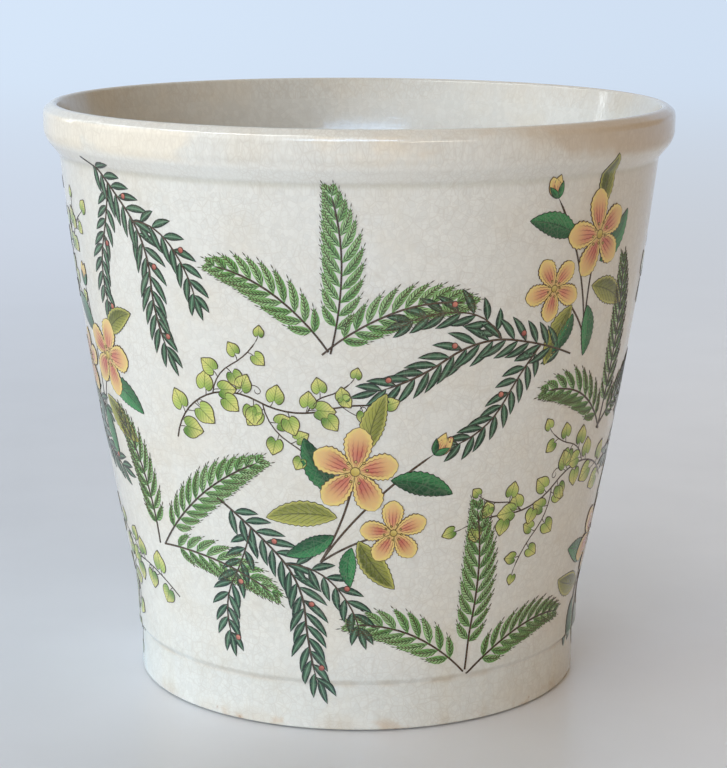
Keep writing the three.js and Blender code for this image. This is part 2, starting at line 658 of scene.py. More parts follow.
@dataclass(frozen=True)
class RimGlaze(GlazeFinish):
    """Glaze of the rim, with painted light in the cove under it and with tan patches on its band, which are
    partly stain and partly painted reflection.

    Drops are measured down from the top of the lip, and insets inwards from the rim's radius.
    """

    roughness: float = 0.06
    net_stretch: Place = (1.0, 1.0, 0.5)
    net_share: float = 0.75
    inside_insets: Range = (0.0042, 0.0060)
    inside_drops: Range = (0.0160, 0.0105)
    outside_insets: Range = (0.0100, 0.0062)
    right_x: Range = (-0.03, 0.09)
    cove: Band = Band(0.0175, 0.0022, 0.0052)
    # Painted light in the cove under the band, stronger on the left.
    pooled: Colour = (0.89, 0.87, 0.80)
    pooled_shares: Range = (0.75, 0.15)
    crease: Band = Band(0.0224, 0.0003, 0.0022, 0.42)
    crease_colour: Colour = (0.60, 0.58, 0.48)
    band_drops: Range = (0.0165, 0.0125)
    band_insets: Range = (0.0058, 0.0048)
    lip_drops: Range = (0.0020, 0.0034)
    patch_stretch: Place = (1.0, 1.0, 1.7)
    patch_scale: float = 19.0
    patch_streaks: float = 0.14
    patch_x: Ramp = (0.02, 0.10, 0.0, 0.08)
    patch_shares: Ramp = (0.47, 0.58, 0.04, 0.55)
    # Partly stain and partly painted reflection: cream on the left, brown on the right.
    tan_left: Colour = (0.93, 0.82, 0.64)
    tan_right: Colour = (0.55, 0.41, 0.27)

    def net(self, surface: GlazeSurface) -> tuple[Socket, float]:
        """Returns the place that the crackle reads, stretched upwards, and its cell size."""
        stretched = surface.vector("MULTIPLY", surface.place, self.net_stretch)
        return stretched, self.effects.cell_size * self.net_share

    def fired(self, surface: GlazeSurface) -> Value:
        """Returns the colour of the plain glaze, which past the lip is the inside's colour with its painted
        shade.
        """
        lower = surface.ease(surface.drop, *self.inside_drops)
        return surface.mix(
            surface.times(surface.ease(surface.inset, *self.inside_insets), lower), self.colour, INSIDE_SHADED_COLOUR
        )

    def ageing(self, surface: GlazeSurface) -> Socket:
        """Returns the share of painted warm shade, on the outside alone."""
        return surface.times(super().ageing(surface), surface.ease(surface.inset, *self.outside_insets))

    def marked(self, surface: GlazeSurface, colour: Socket) -> Socket:
        """Returns the colour with the painted light of the cove, the darker crease under it and the patches,
        which are partly stain and partly painted reflection.

        Args:
            surface: the material's graph.
            colour: the glaze so far.
        """
        colour = super().marked(surface, colour)
        # Painted light in the cove, stronger towards the left.
        cove_lit = surface.ease(surface.x, *self.right_x, *self.pooled_shares)
        colour = surface.mix(surface.times(surface.band(surface.drop, self.cove), cove_lit), colour, self.pooled)
        colour = surface.mix(surface.band(surface.drop, self.crease), colour, self.crease_colour)
        right = surface.ease(surface.x, *self.right_x)
        lip = surface.mix_numbers(right, surface.ease(surface.drop, *self.lip_drops), 1.0)
        band = surface.times(surface.ease(surface.drop, *self.band_drops), lip)
        band = surface.times(band, surface.ease(surface.inset, *self.band_insets))
        # Patches that are partly stain and partly painted reflection.
        patches = surface.times(band, surface.ease(self.patches(surface), *self.patch_shares))
        return surface.mix(patches, colour, surface.mix(right, self.tan_left, self.tan_right))

    def patches(self, surface: GlazeSurface) -> Socket:
        """Returns the noise of the tan patches, which is stronger away from the front."""
        stretched = surface.vector("MULTIPLY", surface.place, self.patch_stretch)
        soft = surface.noise(stretched, self.patch_scale, 4.0)
        streaks = surface.times(surface.streaks, self.patch_streaks)
        aside = surface.ease(surface.math("ABSOLUTE", surface.x), *self.patch_x)
        return surface.plus(surface.math("MULTIPLY_ADD", soft, 1.0 - self.patch_streaks, streaks), aside)


@dataclass(frozen=True)
class FootGlaze(GlazeFinish):
    """Glaze of the foot, with a painted cool shade that makes it darker and bluer towards the table, a tan
    line along the ledge, drips and a worn, specked lower edge.
    """

    # Painted cool shade, darker and bluer towards the table.
    cool: Colour = (0.94, 0.962, 0.985)
    cool_heights: Range = (0.048, 0.022)
    stain: float = 0.6
    ledge: Band = Band(0.0218, 0.0005, 0.0026)
    ledge_streaks: Ramp = (0.35, 0.68, 0.05, 0.6)
    ledge_colour: Colour = (0.47, 0.34, 0.19)
    drips: Ramp = (0.52, 0.78, 0.0, 0.22)
    drip_colour: Colour = (0.70, 0.62, 0.44)
    low_heights: Range = (0.0025, 0.0105)
    low_streaks: Ramp = (0.42, 0.75, 0.0, 0.6)
    low_colour: Colour = (0.50, 0.38, 0.24)
    patch_scale: float = 75.0
    patch_shares: Ramp = (0.52, 0.66, 0.0, 0.5)
    worn_heights: Range = (0.0022, 0.0075)
    worn_colour: Colour = (0.58, 0.43, 0.29)
    speck_heights: Range = (0.0030, 0.0090)
    speck_share: float = 0.55
    speck_colour: Colour = (0.38, 0.22, 0.14)

    def marked(self, surface: GlazeSurface, colour: Socket) -> Socket:
        """Returns the colour with the painted cool shade and the foot's stains and wear.

        Args:
            surface: the material's graph.
            colour: the glaze so far.
        """
        height, streaks = surface.height, surface.streaks
        colour = super().marked(surface, colour)
        # Painted cool shade towards the table.
        colour = surface.mix(surface.ease(height, *self.cool_heights), colour, self.cool, "MULTIPLY")
        ledge = surface.times(surface.band(height, self.ledge), surface.ease(streaks, *self.ledge_streaks))
        colour = surface.mix(surface.times(ledge, self.stain), colour, self.ledge_colour)
        colour = surface.mix(surface.ease(streaks, *self.drips), colour, self.drip_colour)
        low = surface.ease(height, *self.low_heights, 1.0, 0.0)
        low = surface.times(low, surface.ease(streaks, *self.low_streaks))
        colour = surface.mix(surface.times(low, self.stain), colour, self.low_colour)
        patches = surface.ease(surface.noise(surface.place, self.patch_scale, 4.0, 0.6), *self.patch_shares)
        worn = surface.times(surface.ease(height, *self.worn_heights, 1.0, 0.0), patches)
        colour = surface.mix(worn, colour, self.worn_colour)
        near = surface.ease(height, *self.speck_heights, self.speck_share, 0.0)
        near = surface.times(near, surface.ease(patches, 0.0, 0.3))
        return surface.mix(surface.times(near, surface.stains["Specks"]), colour, self.speck_colour)


@dataclass(frozen=True)
class ClayFinish:
    """Bare fired clay of the foot ring, with the glaze of the recess inside it."""

    name: str
    effects: Effects
    bare_from: float = 0.0885
    bare_edge: float = 0.0006
    ragged: float = 0.0016
    clay: Colour = (0.62, 0.50, 0.36)
    clay_grain: Colour = (0.74, 0.64, 0.50)
    clay_stain: Colour = (0.40, 0.29, 0.18)
    grain_scale: float = 1400.0
    grain_height: float = 0.00012
    glaze: Colour = (0.74, 0.70, 0.60)
    glaze_stain: Colour = (0.60, 0.49, 0.33)
    crack_colour: Colour = (0.33, 0.27, 0.19)
    roughnesses: Range = (0.14, 0.82)

    def build(self) -> Material:
        """Returns the material."""
        surface, effects = Surface(self.name), self.effects
        place = surface.place
        ragged = surface.times(surface.noise(place, 160.0, 3.0), self.ragged)
        edge = surface.plus(surface.from_axis(place), ragged)
        bare = surface.ease(edge, self.bare_from, self.bare_from + self.bare_edge)
        warm = surface.group(effects.stains, Vector=place, Patch_Size=0.02, Seed=0.77)["Warm"]
        cracks = effects.crackled(surface, place, effects.cell_size)["Cracks"]
        grain = surface.noise(place, self.grain_scale, 4.0, 0.7)
        clay = surface.mix(surface.ease(grain, 0.3, 0.7), self.clay, self.clay_grain)
        clay = surface.mix(surface.times(warm, 0.5), clay, self.clay_stain)
        glaze = surface.mix(surface.times(warm, 0.35), self.glaze, self.glaze_stain)
        glaze = surface.mix(surface.times(cracks, 0.22), glaze, self.crack_colour)
        surface.dress(
            Base_Color=surface.mix(bare, glaze, clay),
            Roughness=surface.ease(bare, 0.0, 1.0, *self.roughnesses),
        )
        surface.raised(surface.times(surface.times(grain, bare), self.grain_height))
        return surface.material


@dataclass(frozen=True)
class FeltFinish:
    """Pressed grey felt."""

    name: str = "grey_felt"
    colour: Colour = (0.25, 0.235, 0.215)
    fibre: Colour = (0.40, 0.38, 0.35)
    mottle: Colour = (0.14, 0.13, 0.12)
    fibre_stretch: Place = (1.0, 2.6, 1.0)
    fibre_scale: float = 2100.0
    fibre_height: float = 0.00025

    def build(self) -> Material:
        """Returns the material."""
        surface = Surface(self.name)
        stretched = surface.vector("MULTIPLY", surface.place, self.fibre_stretch)
        fibres = surface.noise(stretched, self.fibre_scale, 5.0, 0.75)
        colour = surface.mix(surface.ease(fibres, 0.3, 0.72), self.colour, self.fibre)
        mottled = surface.ease(surface.noise(surface.place, 420.0, 2.0), 0.3, 0.8, 0.0, 0.45)
        surface.dress(Base_Color=surface.mix(mottled, colour, self.mottle), Roughness=0.95, Sheen_Weight=0.3)
        surface.raised(surface.times(fibres, self.fibre_height))
        return surface.material


@dataclass(frozen=True)
class InkFinish:
    """A printed colour under the glaze: a fill that runs from dark to light, pen outlines and veins.

    Widths and reaches are in millimetres.
    """

    dark: Colour
    light: Colour
    line: Colour
    outline: float = 0.26
    veins: float = 0.0
    slant: float = 0.35
    vein_width: float = 0.1
    vein_colour: Optional[Colour] = None
    tip: Optional[Colour] = None
    edge_colour: Optional[Colour] = None
    edge_reach: float = 2.0
    streaks: float = 0.0
    line_tip: Optional[Colour] = None
    WASH_SHARE: ClassVar[float] = 0.28
    CRACK_COLOUR: ClassVar[Colour] = (0.50, 0.46, 0.36)
    CRACK_SHARE: ClassVar[float] = 0.14
    ROUGHNESS: ClassVar[float] = 0.11

    def build(self, name: str, effects: Effects) -> Material:
        """Returns the material.

        Args:
            name: the material's name.
            effects: the shared effects.
        """
        surface = Surface(name)
        leaf, tint = surface.attribute(LEAF_DATA, "Vector"), surface.attribute(LEAF_TINT, "Fac")
        marks = surface.group(
            effects.leaf_marks, Leaf=leaf, Outline=self.outline, Veins=self.veins, Slant=self.slant,
            Vein_Width=self.vein_width, Streaks=self.streaks,
        )
        wash = surface.times(surface.noise(surface.place, 420.0, 3.0, 0.65), self.WASH_SHARE)
        shade = surface.plus(surface.times(marks["Shade"], 1.0 - self.WASH_SHARE), wash)
        colour = surface.mix(surface.plus(shade, surface.times(tint, 0.35)), self.dark, self.light)
        colour = self.drawn(surface, colour, leaf, marks)
        crackle = effects.crackled(surface, surface.place, effects.cell_size)
        cracks = surface.times(crackle["Cracks"], self.CRACK_SHARE)
        surface.dress(
            Base_Color=surface.mix(cracks, colour, self.CRACK_COLOUR), Roughness=self.ROUGHNESS, IOR=GLAZE_IOR
        )
        skin = surface.group(effects.glaze_skin, Vector=surface.place)
        surface.raised(surface.plus(skin["Height"], crackle["Height"]))
        return surface.material

    def drawn(self, surface: Surface, colour: Socket, leaf: Socket, marks: Sockets) -> Socket:
        """Draws the tip, the edge, the veins and the outline over the fill.

        Args:
            surface: the material's graph.
            colour: the fill.
            leaf: the place on the leaf.
            marks: the pen marks.

        Returns:
            The colour.
        """
        along_leaf, _, edge = surface.parts(leaf)
        if self.tip is not None:
            colour = surface.mix(surface.ease(along_leaf, 0.25, 0.95, 0.0, 0.85), colour, self.tip)
        if self.edge_colour is not None:
            near = surface.ease(edge, self.outline, self.edge_reach, 0.95, 0.0)
            colour = surface.mix(near, colour, self.edge_colour)
        if self.vein_colour is not None:
            veins = surface.times(marks["Streak" if self.streaks else "Vein"], 0.8)
            colour = surface.mix(veins, colour, self.vein_colour)
        line = self.line
        if self.line_tip is not None:
            line = surface.mix(surface.ease(along_leaf, 0.2, 0.9), self.line, self.line_tip)
        return surface.mix(surface.times(marks["Line"], 0.94), colour, line)


class Ink(Enum):
    """The printed colours, in the order of the material slots of a spray."""

    STEM = 0
    STROKE = 1
    WASH = 2
    LIME = 3
    WILLOW = 4
    BROAD = 5
    OLIVE = 6
    PETAL = 7
    HEART = 8
    BERRY = 9


INKS: dict[Ink, InkFinish] = {
    Ink.STEM: InkFinish((0.045, 0.025, 0.012), (0.10, 0.055, 0.03), (0.03, 0.016, 0.01), outline=0.1),
    Ink.STROKE: InkFinish(
        (0.05, 0.11, 0.03), (0.07, 0.14, 0.04), (0.028, 0.075, 0.018), outline=0.2,
        line_tip=(0.12, 0.05, 0.025),
    ),
    Ink.WASH: InkFinish((0.13, 0.34, 0.075), (0.40, 0.62, 0.27), (0.20, 0.44, 0.12), outline=0.5),
    Ink.LIME: InkFinish(
        (0.10, 0.24, 0.03), (0.42, 0.55, 0.12), (0.045, 0.016, 0.008), outline=0.42, veins=6.0, slant=0.5,
        vein_colour=(0.05, 0.12, 0.015), tip=(0.76, 0.70, 0.22),
    ),
    Ink.WILLOW: InkFinish(
        (0.014, 0.05, 0.024), (0.06, 0.14, 0.075), (0.006, 0.012, 0.007), outline=0.36, vein_width=0.42,
        vein_colour=(0.17, 0.33, 0.20), edge_colour=(0.009, 0.028, 0.014), edge_reach=0.95,
    ),
    Ink.BROAD: InkFinish(
        (0.008, 0.065, 0.022), (0.05, 0.27, 0.085), (0.004, 0.013, 0.006), outline=0.42, veins=9.0,
        slant=0.33, vein_width=0.13, vein_colour=(0.004, 0.028, 0.012),
    ),
    Ink.OLIVE: InkFinish(
        (0.09, 0.11, 0.012), (0.36, 0.37, 0.07), (0.012, 0.010, 0.004), outline=0.42, veins=9.0, slant=0.33,
        vein_width=0.13, vein_colour=(0.03, 0.038, 0.007), edge_colour=(0.52, 0.50, 0.12), edge_reach=1.8,
    ),
    Ink.PETAL: InkFinish(
        (0.52, 0.115, 0.085), (0.72, 0.29, 0.17), (0.09, 0.022, 0.014), outline=0.42, tip=(0.82, 0.60, 0.23),
        vein_colour=(0.27, 0.032, 0.032), edge_colour=(0.82, 0.65, 0.21), edge_reach=3.4, streaks=3.0,
    ),
    Ink.HEART: InkFinish((0.50, 0.36, 0.07), (0.75, 0.60, 0.18), (0.09, 0.04, 0.012), outline=0.34),
    Ink.BERRY: InkFinish((0.30, 0.05, 0.04), (0.62, 0.22, 0.15), (0.06, 0.01, 0.008), outline=0.34),
}


# Finished pieces


def made_mesh(bm: bmesh.types.BMesh, name: str) -> bpy.types.Mesh:
    """Returns a bmesh as a mesh with smooth faces, and frees it."""
    for face in bm.faces:
        face.smooth = True
    mesh = bpy.data.meshes.new(name)
    bm.to_mesh(mesh)
    bm.free()
    return mesh


def in_scene(name: str, data: bpy.types.ID) -> bpy.types.Object:
    """Returns a new object of the scene."""
    item = bpy.data.objects.new(name, data)
    bpy.context.scene.collection.objects.link(item)
    return item


def cut_across(bm: bmesh.types.BMesh, level: float, nearness: float) -> None:
    """Cuts a flat mesh along the line at a level of y, counting vertices within a nearness of it as lying on
    it.
    """
    everything = [*bm.verts, *bm.edges, *bm.faces]
    bmesh.ops.bisect_plane(bm, geom=everything, dist=nearness, plane_co=(0, level, 0), plane_no=(0, 1, 0))


def finish_piece(
    mesh: bpy.types.Mesh, materials: Sequence[Material], node: str
) -> bpy.types.Object:
    """Makes a finished mesh a piece of the object, under the mesh's name.

    Args:
        mesh: the mesh, in place.
        materials: its materials, in slot order.
        node: the CAD node that it stands for.

    Returns:
        The piece.
    """
    for material in materials:
        mesh.materials.append(material)
    piece = in_scene(mesh.name, mesh)
    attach(piece, BODY)
    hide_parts(node)
    LOG.info("%s: %d faces", mesh.name, len(mesh.polygons))
    return piece


@dataclass
class PotShells:
    """The fired pot, as closed rings that meet inside its wall.

    Everything is in metres, and seams are heights above the table. The bake map's margin and hidden band are
    shares of its side.
    """

    section: Section
    effects: Effects
    turns: int = 288
    skin: float = 0.0025
    upper_seam: float = 0.2335
    middle_seam: float = 0.1272
    lower_seam: float = 0.0500
    inner_seam: float = 0.2500
    foot_back_inset: float = 0.0027
    foot_back_height: float = 0.008
    recess_back_inset: float = 0.0091
    end_gap: float = 0.004
    wall_steps: int = 12
    inside_steps: int = 40
    crease_angle: float = math.radians(35.0)
    margin: float = 0.006
    hidden_band: float = 0.03
    hidden_fill: float = 0.85

    def build(self) -> list[bpy.types.Object]:
        """Returns the pieces of the pot, from the rim down and then the inside and the underside."""
        section, effects = self.section, self.effects
        wall = GlazeFinish("glaze_wall", effects, section).build()
        rim = RimGlaze("glaze_rim", effects, section).build()
        foot = FootGlaze("glaze_foot", effects, section).build()
        inside = InsideGlaze("glaze_inside", effects, section).build()
        base = ClayFinish("glaze_and_bare_clay", effects).build()
        upper, middle, lower = map(section.outside_at, (self.upper_seam, self.middle_seam, self.lower_seam))
        inner, edge, end = section.inside_at(self.inner_seam), self.foot_edge(), float(section.arcs[-1])
        up, out = Vector((0.0, 0.0, self.skin)), Vector((self.skin, 0.0, 0.0))
        inner_back, edge_back = section.at(inner) + out, section.at(edge) + up
        foot_back = Vector((section.foot_radius - self.foot_back_inset, 0.0, self.foot_back_height))
        floor_top = section.foot_face + section.recess + self.skin
        recess_back = Vector((section.foot_radius - self.recess_back_inset, 0.0, floor_top))
        floor_back = [edge_back, recess_back, Vector((0.0, 0.0, floor_top))]
        inside_back = self.behind(end - self.end_gap, inner + self.end_gap, self.inside_steps)
        return [
            self.ring("pot_rim", upper, inner, [inner_back, section.at(upper) - out], rim, 2),
            self.ring("pot_wall_upper", middle, upper, self.behind(upper, middle, self.wall_steps), wall, 3),
            self.ring("pot_wall_lower", lower, middle, self.behind(middle, lower, self.wall_steps), wall, 3),
            self.ring("pot_foot", edge, lower, [section.at(lower) - out, foot_back, edge_back], foot, 3),
            self.ring("pot_inside", inner, end, [section.at(end) - up, *inside_back, inner_back], inside, 2),
            self.ring("pot_underside", 0.0, edge, floor_back, base, 2),
        ]

    def foot_edge(self) -> float:
        """Returns the arc length of the outer end of the foot ring's flat face."""
        section = self.section
        flat = [i for i, point in enumerate(section.path) if abs(point.z - section.foot_face) < SAME_PLACE]
        return float(section.arcs[max(flat)])

    def behind(self, first: float, last: float, count: int) -> list[Vector]:
        """Returns points behind the surface from one arc length to another."""
        section, arcs = self.section, np.linspace(first, last, count)
        return [section.at(arc) - section.normal_at(arc) * self.skin for arc in arcs]

    def ring(
        self, name: str, start: float, end: float, back: Points, material: Material, strips: int
    ) -> bpy.types.Object:
        """Spins one closed ring.

        Args:
            name: the piece's name.
            start: the arc length where its visible side starts.
            end: the arc length where it ends.
            back: the hidden side, from the end of the visible one to its start.
            material: its material.
            strips: how many strips its bake map is cut into.

        Returns:
            The piece.
        """
        bm = bmesh.new()
        arc_of = bm.verts.layers.float.new("arc")
        hidden_of = bm.verts.layers.float.new("hidden")
        front = self.section.stretch(start, end)
        points = [*front, *back]
        arc, verts = 0.0, []
        for index, point in enumerate(points):
            if index:
                arc += (point - points[index - 1]).length
            vert = bm.verts.new(point)
            vert[arc_of] = arc
            vert[hidden_of] = 0.0 if index < len(front) else 1.0
            verts.append(vert)
        front_arc = verts[len(front) - 1][arc_of]
        pairs = zip(verts, verts[1:] + verts[:1])
        edges = [bm.edges.new(pair) for pair in pairs if max(vert.co.x for vert in pair) > MERGE_REACH]
        bmesh.ops.spin(
            bm, geom=verts + edges, cent=(0, 0, 0), axis=(0, 0, 1), dvec=(0, 0, 0), angle=2.0 * math.pi,
            steps=self.turns, use_merge=True, use_normal_flip=False, use_duplicate=False,
        )
        bmesh.ops.remove_doubles(bm, verts=bm.verts, dist=MERGE_REACH)
        bmesh.ops.recalc_face_normals(bm, faces=bm.faces)
        self.unwrap(bm, arc_of, hidden_of, front_arc, arc, strips)
        for edge in bm.edges:
            edge.smooth = edge.calc_face_angle(0.0) < self.crease_angle
        mesh = made_mesh(bm, name)
        for label in ("arc", "hidden"):
            mesh.attributes.remove(mesh.attributes[label])
        return finish_piece(mesh, [material], "pot")

    def unwrap(
        self, bm: bmesh.types.BMesh, arc_of: Layer, hidden_of: Layer, front_arc: float, whole_arc: float,
        strips: int,
    ) -> None:
        """Lays the visible side out in strips by angle and arc length, and the hidden side in a narrow band.

        Args:
            bm: the ring.
            arc_of: the layer of arc lengths.
            hidden_of: the layer that marks the hidden side.
            front_arc: the arc length of the visible side.
            whole_arc: the arc length of both sides.
            strips: the number of strips.
        """
        uv = bm.loops.layers.uv.new(BAKE_MAP)
        turn, room = 2.0 * math.pi, 1.0 - self.hidden_band
        for face in bm.faces:
            middle = face.calc_center_median()
            centre = math.atan2(middle.y, middle.x) % turn
            hidden = any(vert[hidden_of] > 0.5 for vert in face.verts)
            strip = 0 if hidden else min(strips - 1, int(centre / turn * strips))
            for loop in face.loops:
                place, arc = loop.vert.co, loop.vert[arc_of]
                angle = centre if math.hypot(place.x, place.y) < MERGE_REACH else math.atan2(place.y, place.x)
                angle += turn * round((centre - angle) / turn)
                if hidden:
                    at_start = loop.vert[hidden_of] < 0.5 and arc <= 0.0
                    share = 1.0 if at_start else (arc - front_arc) / (whole_arc - front_arc)
                    up = self.hidden_band * self.hidden_fill * min(1.0, max(0.0, share))
                    loop[uv].uv = (angle / turn, up)
                    continue
                across = angle / turn * strips - strip
                share = arc / front_arc
                up = (strip + self.margin * strips + share * (1.0 - 2.0 * self.margin * strips)) / strips
                loop[uv].uv = (self.margin + across * (1.0 - 2.0 * self.margin), self.hidden_band + room * up)


@dataclass
class FeltDots:
    """The felt dots under the foot ring, with their lengths in metres. Shares are of a dot's radius."""

    count: int = 4
    thickness: float = 0.0005
    segments: int = 48
    cut_shares: Sequence[float] = (0.9, 0.62, 0.32)
    edge_round: float = 0.00018
    edge_segments: int = 3
    sharp_angle: float = 1.0
    fuzz: float = 0.00006
    fuzzy_share: float = 0.97

    def build(self) -> list[bpy.types.Object]:
        """Returns the dots."""
        felt = FeltFinish().build()
        return [self.dot(f"felt_dot_{number}", number, felt) for number in range(1, self.count + 1)]

    def dot(self, node: str, number: int, felt: Material) -> bpy.types.Object:
        """Makes one dot, a disc with a soft edge and an uneven face.

        Args:
            node: the CAD node that it stands for.
            number: its number, which seeds the unevenness.
            felt: its material.

        Returns:
            The piece.
        """
        low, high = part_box(node)
        centre = (low + high) / 2.0
        radius = (high.x - low.x) / 2.0
        draw = random.Random(number)
        bm = bmesh.new()
        bmesh.ops.create_circle(bm, cap_ends=True, cap_tris=True, segments=self.segments, radius=radius)
        for share in self.cut_shares:
            cut_across(bm, share * radius, MERGE_REACH)
            cut_across(bm, -share * radius, MERGE_REACH)
        made = bmesh.ops.extrude_face_region(bm, geom=list(bm.faces), use_keep_orig=True)
        lifted = [item for item in made["geom"] if isinstance(item, bmesh.types.BMVert)]
        bmesh.ops.translate(bm, verts=lifted, vec=(0.0, 0.0, self.thickness))
        bmesh.ops.recalc_face_normals(bm, faces=bm.faces)
        rim = [edge for edge in bm.edges if edge.calc_face_angle(0.0) > self.sharp_angle]
        bmesh.ops.bevel(
            bm, geom=rim, offset=self.edge_round, offset_type="OFFSET", segments=self.edge_segments,
            profile=0.5, affect="EDGES", material=-1, clamp_overlap=True,
        )
        for vert in bm.verts:
            if math.hypot(vert.co.x, vert.co.y) < radius * self.fuzzy_share:
                toward_middle = -1.0 if vert.co.z > self.thickness / 2.0 else 1.0
                vert.co.z += toward_middle * self.fuzz * draw.random()
        bmesh.ops.translate(bm, verts=bm.verts, vec=(centre.x, centre.y, low.z))
        return finish_piece(made_mesh(bm, node + "_felt"), [felt], node)


# The print


class Outline(Enum):
    """How wide a leaf is along its length, as (place of the widest point, fullness, base width)."""

    STEM = (0.5, 0.0, 1.0)
    LANCE = (0.42, 0.85, 0.0)
    BROAD = (0.45, 0.78, 0.0)
    PETAL = (0.64, 0.62, 0.26)

    def half(self, share: float, teeth: int = 0) -> float:
        """Returns the half width at a share of the length, as a share of the widest.

        Args:
            share: the place, from 0 to 1.
            teeth: how many teeth each side has.
        """
        if teeth:
            phase = share * teeth % 1.0
            return self.half(share) * (1.0 - TOOTH_DEPTH * abs(2.0 * phase - 1.0))
        if self is Outline.STEM:
            return min(1.0, max(0.0, (1.0 - share) / STEM_TIP))
        peak, fullness, base = self.value
        side = share / peak if share < peak else (1.0 - share) / (1.0 - peak)
        round_part = math.sin(math.pi / 2.0 * max(0.0, min(1.0, side))) ** fullness
        if share <= 0.0:
            return base
        return max(round_part, base) if share < peak else round_part


def toward(angle: float) -> Vector:
    """Returns the flat direction at an angle in radians from the right."""
    return Vector((math.cos(angle), math.sin(angle)))


def spaced(start: float, run: float, index: int, count: int) -> float:
    """Returns one of a count of values that are spaced evenly over a run."""
    return start + run * index / (count - 1)


def walk(start: Vector, heading: float, length: float, bends: Sequence[float], count: int) -> list[Vector]:
    """Walks along a stem that turns as it goes.

    Args:
        start: where it starts.
        heading: its first direction, in radians from the right.
        length: its length.
        bends: how much it turns in each equal part of its length, in radians.
        count: the number of steps.

    Returns:
        The points, one more than the steps.
    """
    points, step = [start.copy()], length / count
    for index in range(count):
        bend = bends[min(len(bends) - 1, index * len(bends) // count)] * len(bends) / count
        heading += bend / 2.0
        points.append(points[-1] + toward(heading) * step)
        heading += bend / 2.0
    return points


def along(points: Points, share: float) -> tuple[Vector, float]:
    """Returns the place on a stem at a share of its steps, and the stem's direction there in radians."""
    place = share * (len(points) - 1)
    index = min(len(points) - 2, int(place))
    first, second = points[index], points[index + 1]
    run = second - first
    return first.lerp(second, place - index), math.atan2(run.y, run.x)


def branch_off(
    stem: Points, share: float, turn: float, length: float, bends: Sequence[float], count: int
) -> list[Vector]:
    """Walks away from a stem.

    Args:
        stem: the stem's points.
        share: where on the stem, as a share of its steps.
        turn: how much the first direction differs from the stem's, in radians.
        length: its length.
        bends: how much it turns in each equal part of its length, in radians.
        count: the number of steps.

    Returns:
        The points.
    """
    place, way = along(stem, share)
    return walk(place, way + turn, length, bends, count)


